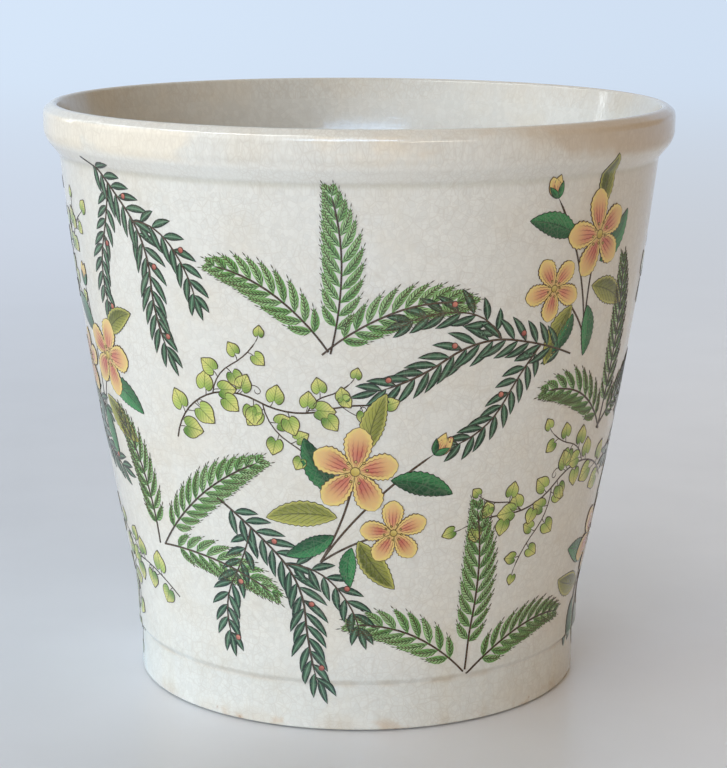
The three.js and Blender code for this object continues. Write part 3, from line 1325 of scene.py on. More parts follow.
class Sheet:
    """A flat drawing of one spray, in millimetres, that is laid on the pot's wall when it is done."""

    SMALLEST: ClassVar[float] = 1e-4
    MERGE: ClassVar[float] = 1e-5
    MAP_SIDE: ClassVar[float] = 20.0
    MAP_GROWTH: ClassVar[float] = 1.03
    MAP_GAP: ClassVar[float] = 0.25
    DISC_ROOM: ClassVar[float] = 1.5
    DISC_EDGE: ClassVar[float] = 0.8

    def __init__(self, seed: int) -> None:
        """Starts an empty sheet.

        Args:
            seed: seeds the colour differences between its leaves.
        """
        self.draw = random.Random(seed)
        self.cells: list[Range] = []
        self.set_aside: list[bpy.types.Mesh] = []
        self.start()

    def start(self) -> None:
        """Starts an empty mesh with the layers of a drawing."""
        self.bm = bmesh.new()
        self.leaf = self.bm.verts.layers.float_vector.new(LEAF_DATA)
        self.tint = self.bm.verts.layers.float.new(LEAF_TINT)
        self.cell = self.bm.verts.layers.float_vector.new("cell")

    def keep_small(self, most: int = 400) -> None:
        """Sets the drawing aside once it has many vertices, because operators are slow on a large mesh."""
        if len(self.bm.verts) > most:
            self.set_aside.append(made_mesh(self.bm, "set_aside"))
            self.start()

    def join(self) -> None:
        """Brings all that was set aside together again."""
        self.keep_small(0)
        for mesh in self.set_aside:
            self.bm.from_mesh(mesh)
            bpy.data.meshes.remove(mesh)

    def add(
        self, spine: Points, half_width: float, outline: Outline, ink: Ink, layer: int, steps: int,
        lanes: int = 2, teeth: int = 0,
    ) -> None:
        """Adds a leaf, petal or stem.

        Args:
            spine: points along its middle.
            half_width: its half width at the widest.
            outline: its shape.
            ink: its colour.
            layer: how high it lies over the others.
            steps: faces along it.
            lanes: faces across it, an even number, or 1 for a fine stroke.
            teeth: teeth on each side, for which steps is twice as many.
        """
        made = bmesh.ops.create_grid(self.bm, x_segments=steps, y_segments=lanes, size=1.0)["verts"]
        length = sum((b - a).length for a, b in zip(spine[:-1], spine[1:]))
        tint = self.draw.uniform(-1.0, 1.0)
        for vert in made:
            share, across = (vert.co.x + 1.0) / 2.0, vert.co.y
            half = half_width * outline.half(share, teeth)
            if half < self.SMALLEST:
                half, across = 0.0, 0.0
            place, heading = along(spine, share)
            side = Vector((-math.sin(heading), math.cos(heading)))
            vert.co = (place + side * half * across).to_3d()
            vert.co.z, vert[self.tint] = layer, tint
            vert[self.leaf] = (share, across, half * (1.0 - abs(across)))
            vert[self.cell] = (share * length, half_width + half * across, float(len(self.cells)))
        self.cells.append((length, 2.0 * half_width))
        self.colour(made, ink)
        bmesh.ops.remove_doubles(self.bm, verts=made, dist=self.MERGE)
        self.keep_small()

    def add_disc(
        self, centre: Vector, turn: float, shape: Callable[[float], float], size: float, ink: Ink, layer: int,
        segments: int,
    ) -> None:
        """Adds a round leaf, a berry or the heart of a flower.

        Args:
            centre: its middle.
            turn: the direction of its tip, in radians.
            shape: its radius by the angle from the tip, as a share of its size.
            size: its radius.
            ink: its colour.
            layer: how high it lies over the others.
            segments: faces round it.
        """
        disc = bmesh.ops.create_circle(self.bm, cap_ends=True, cap_tris=True, segments=segments, radius=1.0)
        made, room = disc["verts"], size * self.DISC_ROOM
        tint = self.draw.uniform(-1.0, 1.0)
        for vert in made:
            middle = vert.co.length < 0.5
            angle = math.atan2(vert.co.y, vert.co.x)
            reach = 0.0 if middle else size * shape(angle)
            vert.co = (centre + toward(angle + turn) * reach).to_3d()
            vert.co.z, vert[self.tint] = layer, tint
            x, y = math.cos(angle) * reach, math.sin(angle) * reach
            vert[self.leaf] = (0.5 + x / size / 2.0, y / size, size * self.DISC_EDGE if middle else 0.0)
            vert[self.cell] = (room + x, room + y, float(len(self.cells)))
        self.cells.append((2.0 * room, 2.0 * room))
        self.colour(made, ink)
        self.keep_small()

    def colour(self, verts: Sequence[bmesh.types.BMVert], ink: Ink) -> None:
        """Gives the faces of some vertices their ink."""
        for face in {face for vert in verts for face in vert.link_faces}:
            face.material_index = ink.value

    def stem(self, spine: Points, width: float, layer: int = 0) -> None:
        """Adds a stem of a width along its points."""
        self.add(spine, width / 2.0, Outline.STEM, Ink.STEM, layer, max(2, len(spine) - 1))

    def pack(self) -> tuple[list[Range], float]:
        """Packs the cells of the bake map on shelves.

        Returns:
            The corner of each cell and the length of the map's side, in millimetres.
        """
        order = sorted(range(len(self.cells)), key=lambda i: -self.cells[i][1])
        side, gap = self.MAP_SIDE, self.MAP_GAP
        while True:
            corners, x, y, shelf = [(0.0, 0.0)] * len(self.cells), gap, gap, 0.0
            for index in order:
                width, height = self.cells[index]
                if x + width + gap > side:
                    x, y, shelf = gap, y + shelf + gap, 0.0
                corners[index] = (x, y)
                x += width + gap
                shelf = max(shelf, height)
            if y + shelf + gap <= side and max(cell[0] for cell in self.cells) + 2 * gap <= side:
                return corners, side
            side *= self.MAP_GROWTH

    def turned(self, turn: float, mirrored: bool) -> None:
        """Turns the drawing about its origin, and mirrors it first if asked."""
        if mirrored:
            bmesh.ops.scale(self.bm, vec=(-1.0, 1.0, 1.0), verts=self.bm.verts)
            bmesh.ops.reverse_faces(self.bm, faces=self.bm.faces)
        bmesh.ops.rotate(self.bm, cent=(0, 0, 0), matrix=Matrix.Rotation(turn, 3, "Z"), verts=self.bm.verts)


@dataclass
class Spray:
    """One printed spray of plants on the outside of the pot.

    Its place on the pot is in metres and radians. What it draws is in millimetres, headings and opening
    angles in degrees, bends and turns in radians. Cuts are offsets from the foot's height or the neck.
    """

    name: str
    section: Section
    inks: Sequence[Material]
    azimuth: float
    height: float
    turn: float
    mirrored: bool
    seed: int
    lift: float = 0.00010
    layer_lift: float = 0.00005
    sink: float = 0.00005
    foot_cuts: Sequence[float] = (-0.4, 0.3, 1.2, 2.1, 3.2)
    neck_cuts: Sequence[float] = (-2.2, -0.6, 1.2, 3.0)
    SEED_SHIFT: ClassVar[int] = 1000

    def __post_init__(self) -> None:
        """Starts the drawing, and the random source of its shapes."""
        self.sheet, self.draw = Sheet(self.seed), random.Random(self.seed + self.SEED_SHIFT)

    def compose(self) -> None:
        """Draws the spray's stems and leaves on the sheet."""
        raise NotImplementedError

    def build(self) -> bpy.types.Object:
        """Returns the finished piece."""
        sheet = self.sheet
        self.compose()
        sheet.join()
        sheet.turned(self.turn, self.mirrored)
        self.cut_at_bends()
        corners, side = sheet.pack()
        bm = sheet.bm
        made = bmesh.ops.extrude_face_region(bm, geom=list(bm.faces), use_keep_orig=True)
        for vert in {item for item in made["geom"] if isinstance(item, bmesh.types.BMVert)}:
            vert.co.z = -1.0
        bmesh.ops.recalc_face_normals(bm, faces=bm.faces)
        uv = bm.loops.layers.uv.new(BAKE_MAP)
        for loop in (loop for face in bm.faces for loop in face.loops):
            x, y, index = loop.vert[sheet.cell]
            corner = corners[round(index)]
            loop[uv].uv = ((corner[0] + x) / side, (corner[1] + y) / side)
        normals = self.wrap(bm)
        mesh = made_mesh(bm, self.name)
        mesh.attributes.remove(mesh.attributes["cell"])
        mesh.normals_split_custom_set_from_vertices(normals)
        return finish_piece(mesh, self.inks, "pot")

    def cut_at_bends(self) -> None:
        """Cuts the flat leaves where they cross the ledge or the cove, so that they can bend there."""
        section = self.section
        here = section.outside_at(self.height)
        steps = [section.foot_face + section.foot_height + cut * MM for cut in self.foot_cuts]
        steps += [section.top - section.neck_drop + cut * MM for cut in self.neck_cuts]
        for height in steps:
            level = (section.outside_at(height) - here) / MM
            cut_across(self.sheet.bm, level, self.sheet.SMALLEST)

    def wrap(self, bm: bmesh.types.BMesh) -> list[Place]:
        """Lays the flat drawing on the wall.

        Args:
            bm: the drawing, in millimetres, with its layer as height.

        Returns:
            The wall's normal at each vertex.
        """
        section = self.section
        flat = np.array([vert.co for vert in bm.verts])
        arcs = section.outside_at(self.height) + flat[:, 1] * MM
        radii, heights, out_r, out_z = section.run(arcs)
        lift = np.where(flat[:, 2] < 0.0, -self.sink, self.lift + self.layer_lift * flat[:, 2])
        angles = self.azimuth + flat[:, 0] * MM / radii
        sines, cosines = np.sin(angles), np.cos(angles)
        reach = radii + out_r * lift
        spots = np.stack([reach * sines, -reach * cosines, heights + out_z * lift], 1)
        for vert, spot in zip(bm.verts, spots):
            vert.co = spot
        return np.stack([out_r * sines, -out_r * cosines, out_z], 1).tolist()


@dataclass
class FeatherSpray(Spray):
    """Arched stems with feathered side stems, drawn as fine strokes over a wash."""

    fronds: Sequence[Place] = ((58.0, 62.0, -0.95), (98.0, 72.0, 0.5), (148.0, 58.0, 0.95))
    root: float = -33.0
    root_spread: Range = (-2.0, 2.0)
    heading_spread: Range = (-7.0, 7.0)
    length_spread: Range = (0.9, 1.08)
    bend_spread: Range = (0.7, 1.25)
    bend_shares: Range = (0.4, 0.6)
    stem_width: float = 0.8
    pair_spacing: float = 6.2
    side_reach: float = 14.0
    tip_reach: float = 1.2
    side_angles: Range = (58.0, 22.0)
    wash_half: float = 1.9
    stroke_half: float = 0.24
    barb_half: float = 0.20
    barb_spacing: float = 1.75
    barb_length: float = 3.1
    barb_taper: float = 0.42
    barb_spread: Range = (0.85, 1.15)
    barb_angles: Range = (34.0, 46.0)
    frond_tip: float = 3.4
    side_tip: float = 2.2

    def compose(self) -> None:
        """Draws three arched fronds that grow from one place."""
        for heading, length, bend in self.fronds:
            aside, above = (self.draw.uniform(*self.root_spread) for _ in range(2))
            start = Vector((aside, self.root + above))
            way = math.radians(heading + self.draw.uniform(*self.heading_spread))
            length *= self.draw.uniform(*self.length_spread)
            self.frond(start, way, length, bend * self.draw.uniform(*self.bend_spread))

    def frond(self, start: Vector, heading: float, length: float, bend: float) -> None:
        """Draws one frond: a stem, its side stems and their barbs.

        Args:
            start: where the stem starts.
            heading: its first direction.
            length: its length.
            bend: how much it turns on the way.
        """
        spine = walk(start, heading, length, [bend * share for share in self.bend_shares], 14)
        self.sheet.stem(spine, self.stem_width, 3)
        pairs = round(length / self.pair_spacing)
        widest, narrowing = self.side_angles
        for index in range(pairs):
            share = spaced(0.16, 0.82, index, pairs)
            reach = self.side_reach * math.sin(math.pi * spaced(0.24, 0.66, index, pairs)) + self.tip_reach
            for side, offset in ((-1.0, 0.0), (1.0, 0.015)):
                turn = side * math.radians(widest - narrowing * share)
                branch = branch_off(spine, min(0.995, share + offset), turn, reach, (-side * 0.5,), 6)
                self.sheet.add(branch, self.wash_half, Outline.LANCE, Ink.WASH, 0, 5)
                self.stroke(branch, self.stroke_half, 4)
                self.barbs(branch, reach)
        self.stroke(branch_off(spine, 1.0, 0.0, self.frond_tip, (0.0,), 2), self.stroke_half, 2)

    def stroke(self, spine: Points, half_width: float, steps: int) -> None:
        """Draws one fine stroke that thins out to both ends."""
        self.sheet.add(spine, half_width, Outline.LANCE, Ink.STROKE, 3, steps, lanes=1)

    def barbs(self, branch: Points, reach: float) -> None:
        """Draws the short strokes along both sides of a side stem, and one at its tip."""
        count = max(3, round(reach / self.barb_spacing))
        for index in range(count):
            share = 0.10 + 0.88 * index / count
            for side in (-1.0, 1.0):
                size = self.barb_length * (1.0 - self.barb_taper * share)
                size *= self.sheet.draw.uniform(*self.barb_spread)
                turn = side * math.radians(self.sheet.draw.uniform(*self.barb_angles))
                self.stroke(branch_off(branch, share, turn, size, (-side * 0.3,), 2), self.barb_half, 2)
        self.stroke(branch_off(branch, 1.0, 0.0, self.side_tip, (0.0,), 2), self.barb_half, 2)


def heart_shape(angle: float) -> float:
    """Returns the radius of a rounded heart-shaped leaf by the angle from its tip."""
    tip = 0.34 * math.exp(-((angle / 0.30) ** 2))
    notch = 0.52 * math.exp(-(((math.pi - abs(angle)) / 0.36) ** 2))
    return 0.92 + tip - notch


def round_shape(_angle: float) -> float:
    """Returns the radius of a plain round shape."""
    return 1.0


@dataclass
class VineSpray(Spray):
    """A trailing vine with heart-shaped leaves and curled tendrils.

    Shoots are (share of the main stem, side, length), and tendrils (share, side).
    """

    start: Range = (-40.0, -16.0)
    heading: float = 52.0
    length: float = 106.0
    bends: Sequence[float] = (-0.75, -0.95, 0.85, -0.5)
    bend_spread: Range = (0.75, 1.2)
    shoots: Sequence[Place] = ((0.30, 1.0, 34.0), (0.52, -1.0, 40.0), (0.70, 1.0, 24.0))
    tendrils: Sequence[Range] = ((0.14, -1.0), (0.42, 1.0), (0.84, -1.0))
    tendril_bends: Sequence[float] = (0.2, 1.6, 4.4)
    tendril_length: float = 17.0
    main_width: float = 0.75
    shoot_width: float = 0.55
    stalk_width: float = 0.36
    tendril_width: float = 0.34
    main_leaves: int = 14
    main_leaf: float = 5.7
    shoot_leaf: float = 4.8
    leaf_spacing: float = 5.6
    leaf_turn: float = 0.95
    turn_spread: Range = (-0.25, 0.25)
    leaf_taper: float = 0.40
    leaf_spread: Range = (0.88, 1.08)
    tip_spread: Range = (-0.3, 0.3)

    def compose(self) -> None:
        """Draws the main stem, the side shoots, their leaves and the tendrils."""
        bends = [bend * self.draw.uniform(*self.bend_spread) for bend in self.bends]
        main = walk(Vector(self.start), math.radians(self.heading), self.length, bends, 26)
        self.sheet.stem(main, self.main_width)
        self.leaves(main, self.main_leaves, self.main_leaf)
        for share, side, length in self.shoots:
            shoot = branch_off(main, share, side * 1.05, length, (-side * 0.9, side * 0.5), 10)
            self.sheet.stem(shoot, self.shoot_width)
            self.leaves(shoot, round(length / self.leaf_spacing), self.shoot_leaf)
        for share, side in self.tendrils:
            curl = [-side * bend for bend in self.tendril_bends]
            tendril = branch_off(main, share, side * 0.9, self.tendril_length, curl, 18)
            self.sheet.stem(tendril, self.tendril_width)

    def leaves(self, stem: Points, count: int, size: float) -> None:
        """Draws leaves on short stalks along both sides of a stem.

        Args:
            stem: the stem's points.
            count: how many leaves.
            size: the radius of the largest leaf.
        """
        for index in range(count):
            share = spaced(0.05, 0.93, index, count)
            side = 1.0 if index % 2 else -1.0
            turn = 0.0
            if index < count - 1:
                turn = side * (self.leaf_turn + self.draw.uniform(*self.turn_spread))
            radius = size * (1.0 - self.leaf_taper * share) * self.draw.uniform(*self.leaf_spread)
            stalk = branch_off(stem, share, turn, 2.4 + radius * 0.25, (side * 0.4,), 3)
            self.sheet.stem(stalk, self.stalk_width)
            tip, facing = along(stalk, 1.0)
            centre = tip + toward(facing) * radius * 0.42
            facing += self.draw.uniform(*self.tip_spread)
            self.sheet.add_disc(centre, facing, heart_shape, radius, Ink.LIME, 1 + index % 3, 24)


@dataclass
class BlossomSpray(Spray):
    """Five-petalled blossoms with a bud and broad toothed leaves.

    Leaves are (x, y, heading, length, ink), blossoms (x, y, petal length), and parts of the bud (heading in
    radians, length, half width, ink, layer). A blossom's sizes are shares of its petal's length.
    """

    root: Range = (-6.0, -36.0)
    blossoms: Sequence[Place] = ((-10.0, 8.0, 18.0), (16.0, -11.0, 14.0))
    bud_place: Range = (17.0, 27.0)
    stem_bends: Place = (0.35, -0.5, -0.45)
    stem_slack: float = 1.02
    stem_width: float = 0.95
    leaves: Sequence[tuple[float, float, float, float, Ink]] = (
        (-8.0, -14.0, 196.0, 31.0, Ink.OLIVE), (-12.0, -4.0, 160.0, 29.0, Ink.BROAD),
        (-6.0, -22.0, 246.0, 23.0, Ink.BROAD), (4.0, -20.0, 318.0, 28.0, Ink.OLIVE),
        (5.0, 10.0, 28.0, 28.0, Ink.BROAD), (-9.0, 18.0, 108.0, 27.0, Ink.OLIVE),
        (3.0, -24.0, 282.0, 19.0, Ink.BROAD),
    )
    leaf_bends: Range = (0.3, 0.75)
    heading_spread: Range = (-8.0, 8.0)
    leaf_half: float = 0.2
    leaf_teeth: int = 11
    petals: int = 5
    petal_spread: Range = (0.92, 1.05)
    petal_bends: Range = (-0.3, 0.3)
    petal_start: float = 0.08
    petal_half: float = 0.35
    petal_teeth: int = 8
    anthers: int = 9
    anther_turn: float = 0.2
    anther_reach: Range = (0.20, 0.30)
    anther_radius: float = 0.04
    heart_radius: float = 0.12
    bud: Sequence[tuple[float, float, float, Ink, int]] = (
        (1.1, 11.0, 3.4, Ink.PETAL, 4), (1.45, 11.0, 2.7, Ink.PETAL, 4),
        (0.75, 7.5, 1.6, Ink.BROAD, 5), (1.8, 7.5, 1.6, Ink.BROAD, 5),
    )

    def compose(self) -> None:
        """Draws the stems, the leaves, the bud and then the blossoms over them."""
        foot, bud_place = Vector(self.root), Vector(self.bud_place)
        centres = [Vector((x, y)) for x, y, _ in self.blossoms]
        for end, bend in zip((*centres, bud_place), self.stem_bends):
            run = end - foot
            way = math.atan2(run.y, run.x) - bend / 2.0
            self.sheet.stem(walk(foot, way, run.length * self.stem_slack, (bend,), 12), self.stem_width)
        for number, (x, y, way, length, ink) in enumerate(self.leaves):
            bend = self.draw.choice((-1.0, 1.0)) * self.draw.uniform(*self.leaf_bends)
            heading = math.radians(way + self.draw.uniform(*self.heading_spread))
            spine = walk(Vector((x, y)), heading, length, (bend,), 12)
            teeth, layer = self.leaf_teeth, 1 + number % 3
            self.sheet.add(spine, length * self.leaf_half, Outline.BROAD, ink, layer, 2 * teeth, 4, teeth)
        for way, length, half_width, ink, layer in self.bud:
            closed = walk(bud_place, way, length, (0.1,), 6)
            self.sheet.add(closed, half_width, Outline.LANCE, ink, layer, 8, 4)
        for centre, (_, _, size) in zip(centres, self.blossoms):
            self.blossom(centre, size)

    def blossom(self, centre: Vector, size: float) -> None:
        """Draws the petals round a heart of small anthers.

        Args:
            centre: the middle of the blossom.
            size: the length of a petal.
        """
        circle = 2.0 * math.pi
        turn = self.draw.uniform(0.0, circle)
        for petal in range(self.petals):
            way = turn + petal * circle / self.petals
            length = size * self.draw.uniform(*self.petal_spread)
            start = centre + toward(way) * size * self.petal_start
            spine = walk(start, way, length, (self.draw.uniform(*self.petal_bends),), 8)
            half, teeth, layer = size * self.petal_half, self.petal_teeth, 4 + petal % 3
            self.sheet.add(spine, half, Outline.PETAL, Ink.PETAL, layer, 2 * teeth, 4, teeth)
        self.sheet.add_disc(centre, 0.0, round_shape, size * self.heart_radius, Ink.HEART, 7, 14)
        for anther in range(self.anthers):
            way = turn + anther * circle / self.anthers + self.anther_turn
            tip = centre + toward(way) * size * self.draw.uniform(*self.anther_reach)
            self.sheet.add_disc(tip, 0.0, round_shape, size * self.anther_radius, Ink.HEART, 7, 8)


@dataclass
class WillowSpray(Spray):
    """Drooping branches with slim dark leaves and a few berries.

    Branches are (share of the main stem, side, length, bends).
    """

    start: Range = (-40.0, 26.0)
    heading: float = -6.0
    length: float = 96.0
    bends: Place = (-0.2, -0.75, 0.35)
    bend_spread: Range = (0.8, 1.3)
    branches: Sequence[tuple[float, float, float, Range]] = (
        (0.20, -1.0, 56.0, (-0.25, 0.75)), (0.42, 1.0, 46.0, (-1.0, -0.5)),
    )
    branch_turn: float = 1.1
    main_width: float = 0.85
    branch_width: float = 0.65
    main_pairs: int = 15
    pair_spacing: float = 6.4
    main_leaf: float = 14.5
    branch_leaf: float = 12.5
    leaf_half: float = 1.75
    leaf_spread: Range = (0.9, 1.05)
    leaf_angles: Range = (58.0, 20.0)
    angle_spread: Range = (-5.0, 5.0)
    berry_every: int = 5
    berry_stalk: float = 4.2
    berry_radius: float = 1.4
    stalk_width: float = 0.3
    tip_share: float = 0.8
    tip_half: float = 1.6

    def compose(self) -> None:
        """Draws the main stem and its branches, with their leaves and berries."""
        bends = [bend * self.draw.uniform(*self.bend_spread) for bend in self.bends]
        main = walk(Vector(self.start), math.radians(self.heading), self.length, bends, 22)
        self.sheet.stem(main, self.main_width, 3)
        self.leaves(main, self.main_pairs, self.main_leaf)
        for share, side, length, branch_bends in self.branches:
            branch = branch_off(main, share, side * self.branch_turn, length, branch_bends, 14)
            self.sheet.stem(branch, self.branch_width, 3)
            self.leaves(branch, round(length / self.pair_spacing), self.branch_leaf)

    def leaves(self, stem: Points, pairs: int, size: float) -> None:
        """Draws leaf pairs along a stem, with a leaf at its tip and berries between some pairs.

        Args:
            stem: the stem's points.
            pairs: how many pairs.
            size: the length of the longest leaf.
        """
        widest, narrowing = self.leaf_angles
        for index in range(pairs):
            share = spaced(0.08, 0.88, index, pairs)
            for side, offset in ((-1.0, 0.0), (1.0, 0.02)):
                length = size * (0.62 + 0.38 * math.sin(math.pi * (0.15 + 0.7 * share)))
                length *= self.draw.uniform(*self.leaf_spread)
                turn = side * math.radians(widest - narrowing * share + self.draw.uniform(*self.angle_spread))
                leaf = branch_off(stem, min(0.99, share + offset), turn, length, (-side * 0.45,), 6)
                self.sheet.add(leaf, self.leaf_half, Outline.LANCE, Ink.WILLOW, 1 + index % 2, 6)
            if index % self.berry_every == 3:
                stalk = branch_off(stem, share + 0.02, 0.7, self.berry_stalk, (0.5,), 3)
                self.sheet.stem(stalk, self.stalk_width, 3)
                self.sheet.add_disc(stalk[-1], 0.0, round_shape, self.berry_radius, Ink.BERRY, 4, 12)
        tip = branch_off(stem, 1.0, 0.0, size * self.tip_share, (0.1,), 4)
        self.sheet.add(tip, self.tip_half, Outline.LANCE, Ink.WILLOW, 2, 6)


@dataclass
class Print:
    """The scattered print round the outside of the pot, in rows of (height, number of sprays, shift).

    Heights are in metres, shifts and the azimuth spread are shares of the space between sprays, and the turn
    spread is in degrees.
    """

    section: Section
    effects: Effects
    rows: Sequence[tuple[float, int, float]] = (
        (0.2020, 8, 0.0), (0.1540, 8, 0.5), (0.1060, 8, 0.1), (0.0590, 7, 0.6),
    )
    azimuth_spread: Range = (-0.06, 0.06)
    height_spread: Range = (-0.005, 0.005)
    turn_spread: Range = (-32.0, 32.0)
    mean_radius: float = 0.118
    furthest: float = 1.0
    seed: int = 41

    def build(self) -> list[bpy.types.Object]:
        """Returns the sprays, row by row."""
        inks = [INKS[ink].build(f"print_{ink.name.lower()}", self.effects) for ink in Ink]
        draw = random.Random(self.seed)
        placed: list[tuple[type[Spray], float, float]] = []
        pieces = []
        for height, count, shift in self.rows:
            for column in range(count):
                azimuth = 2.0 * math.pi * (column + shift + draw.uniform(*self.azimuth_spread)) / count
                level = height + draw.uniform(*self.height_spread)
                kind = self.least_crowded(placed, azimuth, level)
                placed.append((kind, azimuth, level))
                number = len(placed)
                spray = kind(
                    name=f"print_{number:02d}_{kind.__name__.replace('Spray', '').lower()}",
                    section=self.section,
                    inks=inks,
                    azimuth=azimuth,
                    height=level,
                    turn=math.radians(draw.uniform(*self.turn_spread)),
                    mirrored=draw.random() < 0.5,
                    seed=self.seed + number,
                )
                pieces.append(spray.build())
        return pieces

    def least_crowded(
        self, placed: Sequence[tuple[type[Spray], float, float]], azimuth: float, height: float
    ) -> type[Spray]:
        """Returns the motif whose nearest like on the pot is the furthest away.

        Args:
            placed: the motif, azimuth and height of each spray so far.
            azimuth: where the next one goes.
            height: how high it goes.
        """
        def distance(kind: type[Spray]) -> float:
            """Returns the distance to the nearest spray of a motif."""
            gaps = [self.furthest]
            for other, turn, level in placed:
                if other is kind:
                    across = math.remainder(turn - azimuth, 2.0 * math.pi) * self.mean_radius
                    gaps.append(math.hypot(across, level - height))
            return min(gaps)
        return max((FeatherSpray, BlossomSpray, VineSpray, WillowSpray), key=distance)


# The studio


@dataclass(frozen=True)
class Lamp:
    """A rectangular lamp facing the middle of the rim, placed by a direction in degrees and a distance."""

    name: str
    azimuth: float
    elevation: float
    distance: float
    width: float
    height: float
    radiance: float
    colour: Colour = (1.0, 1.0, 1.0)
    lights: bool = False
    mirrored: bool = True
    WATTS: ClassVar[float] = 4.0
    AIM: ClassVar[Place] = (0.0, 0.0, 0.26)

    def build(self) -> None:
        """Adds the lamp to the scene, with its power from its area and radiance."""
        data = bpy.data.lights.new(self.name, "AREA")
        data.shape = "RECTANGLE"
        data.size, data.size_y = self.width, self.height
        data.energy = self.WATTS * self.width * self.height * self.radiance
        data.color = self.colour
        lamp = in_scene(self.name, data)
        lamp.visible_diffuse, lamp.visible_glossy = self.lights, self.mirrored
        turn, rise = math.radians(self.azimuth), math.radians(self.elevation)
        way = Vector((math.cos(turn) * math.cos(rise), math.sin(turn) * math.cos(rise), math.sin(rise)))
        facing = way.to_track_quat("Z", "Y").to_matrix().to_4x4()
        lamp.matrix_world = Matrix.Translation(Vector(self.AIM) + way * self.distance) @ facing


LAMPS = (
    Lamp("window_back_left", 147.6, 11.8, 1.76, 0.10, 0.55, 4.1, (0.90, 0.96, 1.0), lights=True),
    Lamp("fill_front_left", 248.0, 20.0, 3.0, 1.2, 0.8, 4.2, (0.40, 0.61, 0.93), lights=True, mirrored=False),
    Lamp("window_behind_camera", 267.5, 13.8, 3.1, 1.95, 0.44, 8.7, (0.42, 0.66, 1.0)),
    Lamp("panel_back", 142.0, 28.0, 2.0, 0.50, 0.42, 1.2),
    Lamp("panel_back_left", 162.0, 37.0, 2.0, 0.60, 0.63, 3.3),
    Lamp("panel_left", 187.0, 44.0, 2.0, 0.62, 0.56, 7.0),
    Lamp("panel_front_left", 212.0, 48.5, 2.0, 0.58, 0.52, 9.0),
    Lamp("panel_front", 237.0, 50.5, 2.0, 0.56, 0.52, 6.5),
    Lamp("strip_front_right", 296.0, 2.5, 2.0, 0.94, 0.14, 7.0, (1.0, 0.88, 0.76)),
)


@dataclass(frozen=True)
class TableFinish:
    """Pale lacquer of the table, which turns bluer towards the back, where the camera sees it as plain light.
    Near the pot its colour holds painted light and shade: bluer on the left, lighter on the right where the
    pot's shadow falls, a painted shade patch in front of the pot, and a painted glare that glows for glossy
    rays alone.

    Places are in metres, with x to the right and y away from the camera.
    """

    name: str = "pale_table"
    roughness: float = 0.32
    near_x: Range = (-0.35, 0.35)
    # Painted light near the pot: bluer on the left, lighter on the right where the pot's shadow falls.
    near_left: Colour = (0.695, 0.74, 0.80)
    near_right: Colour = (0.93, 0.935, 0.95)
    far_y: Range = (0.1, 3.0)
    far: Colour = (0.66, 0.76, 0.88)
    mark_scale: float = 9.0
    mark_tones: Range = (0.97, 1.02)
    # A painted shade patch that darkens the table in front of the pot.
    dull_middle: Place = (0.03, -0.24, 0.0)
    dull: Ramp = (0.04, 0.24, 0.86, 1.0)
    glow_near_left: Colour = (0.605, 0.655, 0.745)
    glow_near_right: Colour = (0.57, 0.59, 0.63)
    glow_far_x: Range = (-0.9, 0.9)
    glow_far_left: Colour = (0.675, 0.795, 0.95)
    glow_far_right: Colour = (0.635, 0.745, 0.895)
    glow_y: Range = (0.3, 4.2)
    glow_share_y: Range = (0.15, 1.5)
    # A painted glare: a patch of the table at the pot's front left that glows for glossy rays alone.
    glare: Colour = (1.2, 2.6, 3.5)
    glare_middle: Place = (-0.13, -0.12, 0.0)
    glare_share: Ramp = (0.22, 0.04, 0.0, 0.14)

    def build(self) -> Material:
        """Returns the material."""
        surface = Surface(self.name)
        x, y, _ = surface.parts(surface.place)
        across = surface.ease(x, *self.near_x)
        # Painted light: bluer on the left, lighter on the right.
        near = surface.mix(across, self.near_left, self.near_right)
        colour = surface.mix(surface.ease(y, *self.far_y), near, self.far)
        marks = surface.ease(surface.noise(surface.place, self.mark_scale, 4.0), 0.3, 0.7, *self.mark_tones)
        # Painted shade in front of the pot.
        dull = surface.ease(surface.distance(surface.place, self.dull_middle), *self.dull)
        surface.dress(Base_Color=surface.shaded(colour, surface.times(marks, dull)), Roughness=self.roughness)
        close = surface.mix(across, self.glow_near_left, self.glow_near_right)
        distant = surface.mix(surface.ease(x, *self.glow_far_x), self.glow_far_left, self.glow_far_right)
        tint = surface.mix(surface.ease(y, *self.glow_y), close, distant)
        rays = surface.node("ShaderNodeLightPath").outputs
        seen = surface.math("MAXIMUM", rays["Is Camera Ray"], rays["Is Glossy Ray"])
        seen = surface.math("MAXIMUM", seen, rays["Is Transmission Ray"])
        glow = surface.times(seen, surface.ease(y, *self.glow_share_y))
        shown = self.lit(surface, glow, surface.shader.outputs[0], tint)
        # Painted glare, seen only in reflections on the pot.
        away = surface.ease(surface.distance(surface.place, self.glare_middle), *self.glare_share)
        shown = self.lit(surface, surface.times(rays["Is Glossy Ray"], away), shown, self.glare)
        surface.feed(surface.tree.nodes["Material Output"].inputs["Surface"], shown)
        return surface.material

    @staticmethod
    def lit(surface: Surface, share: Socket, shader: Socket, colour: Value) -> Socket:
        """Returns a shader with a share of plain light of a colour in its place."""
        light = surface.node("ShaderNodeEmission", {"Color": colour}).outputs[0]
        return surface.node("ShaderNodeMixShader", {0: share, 1: shader, 2: light}).outputs[0]


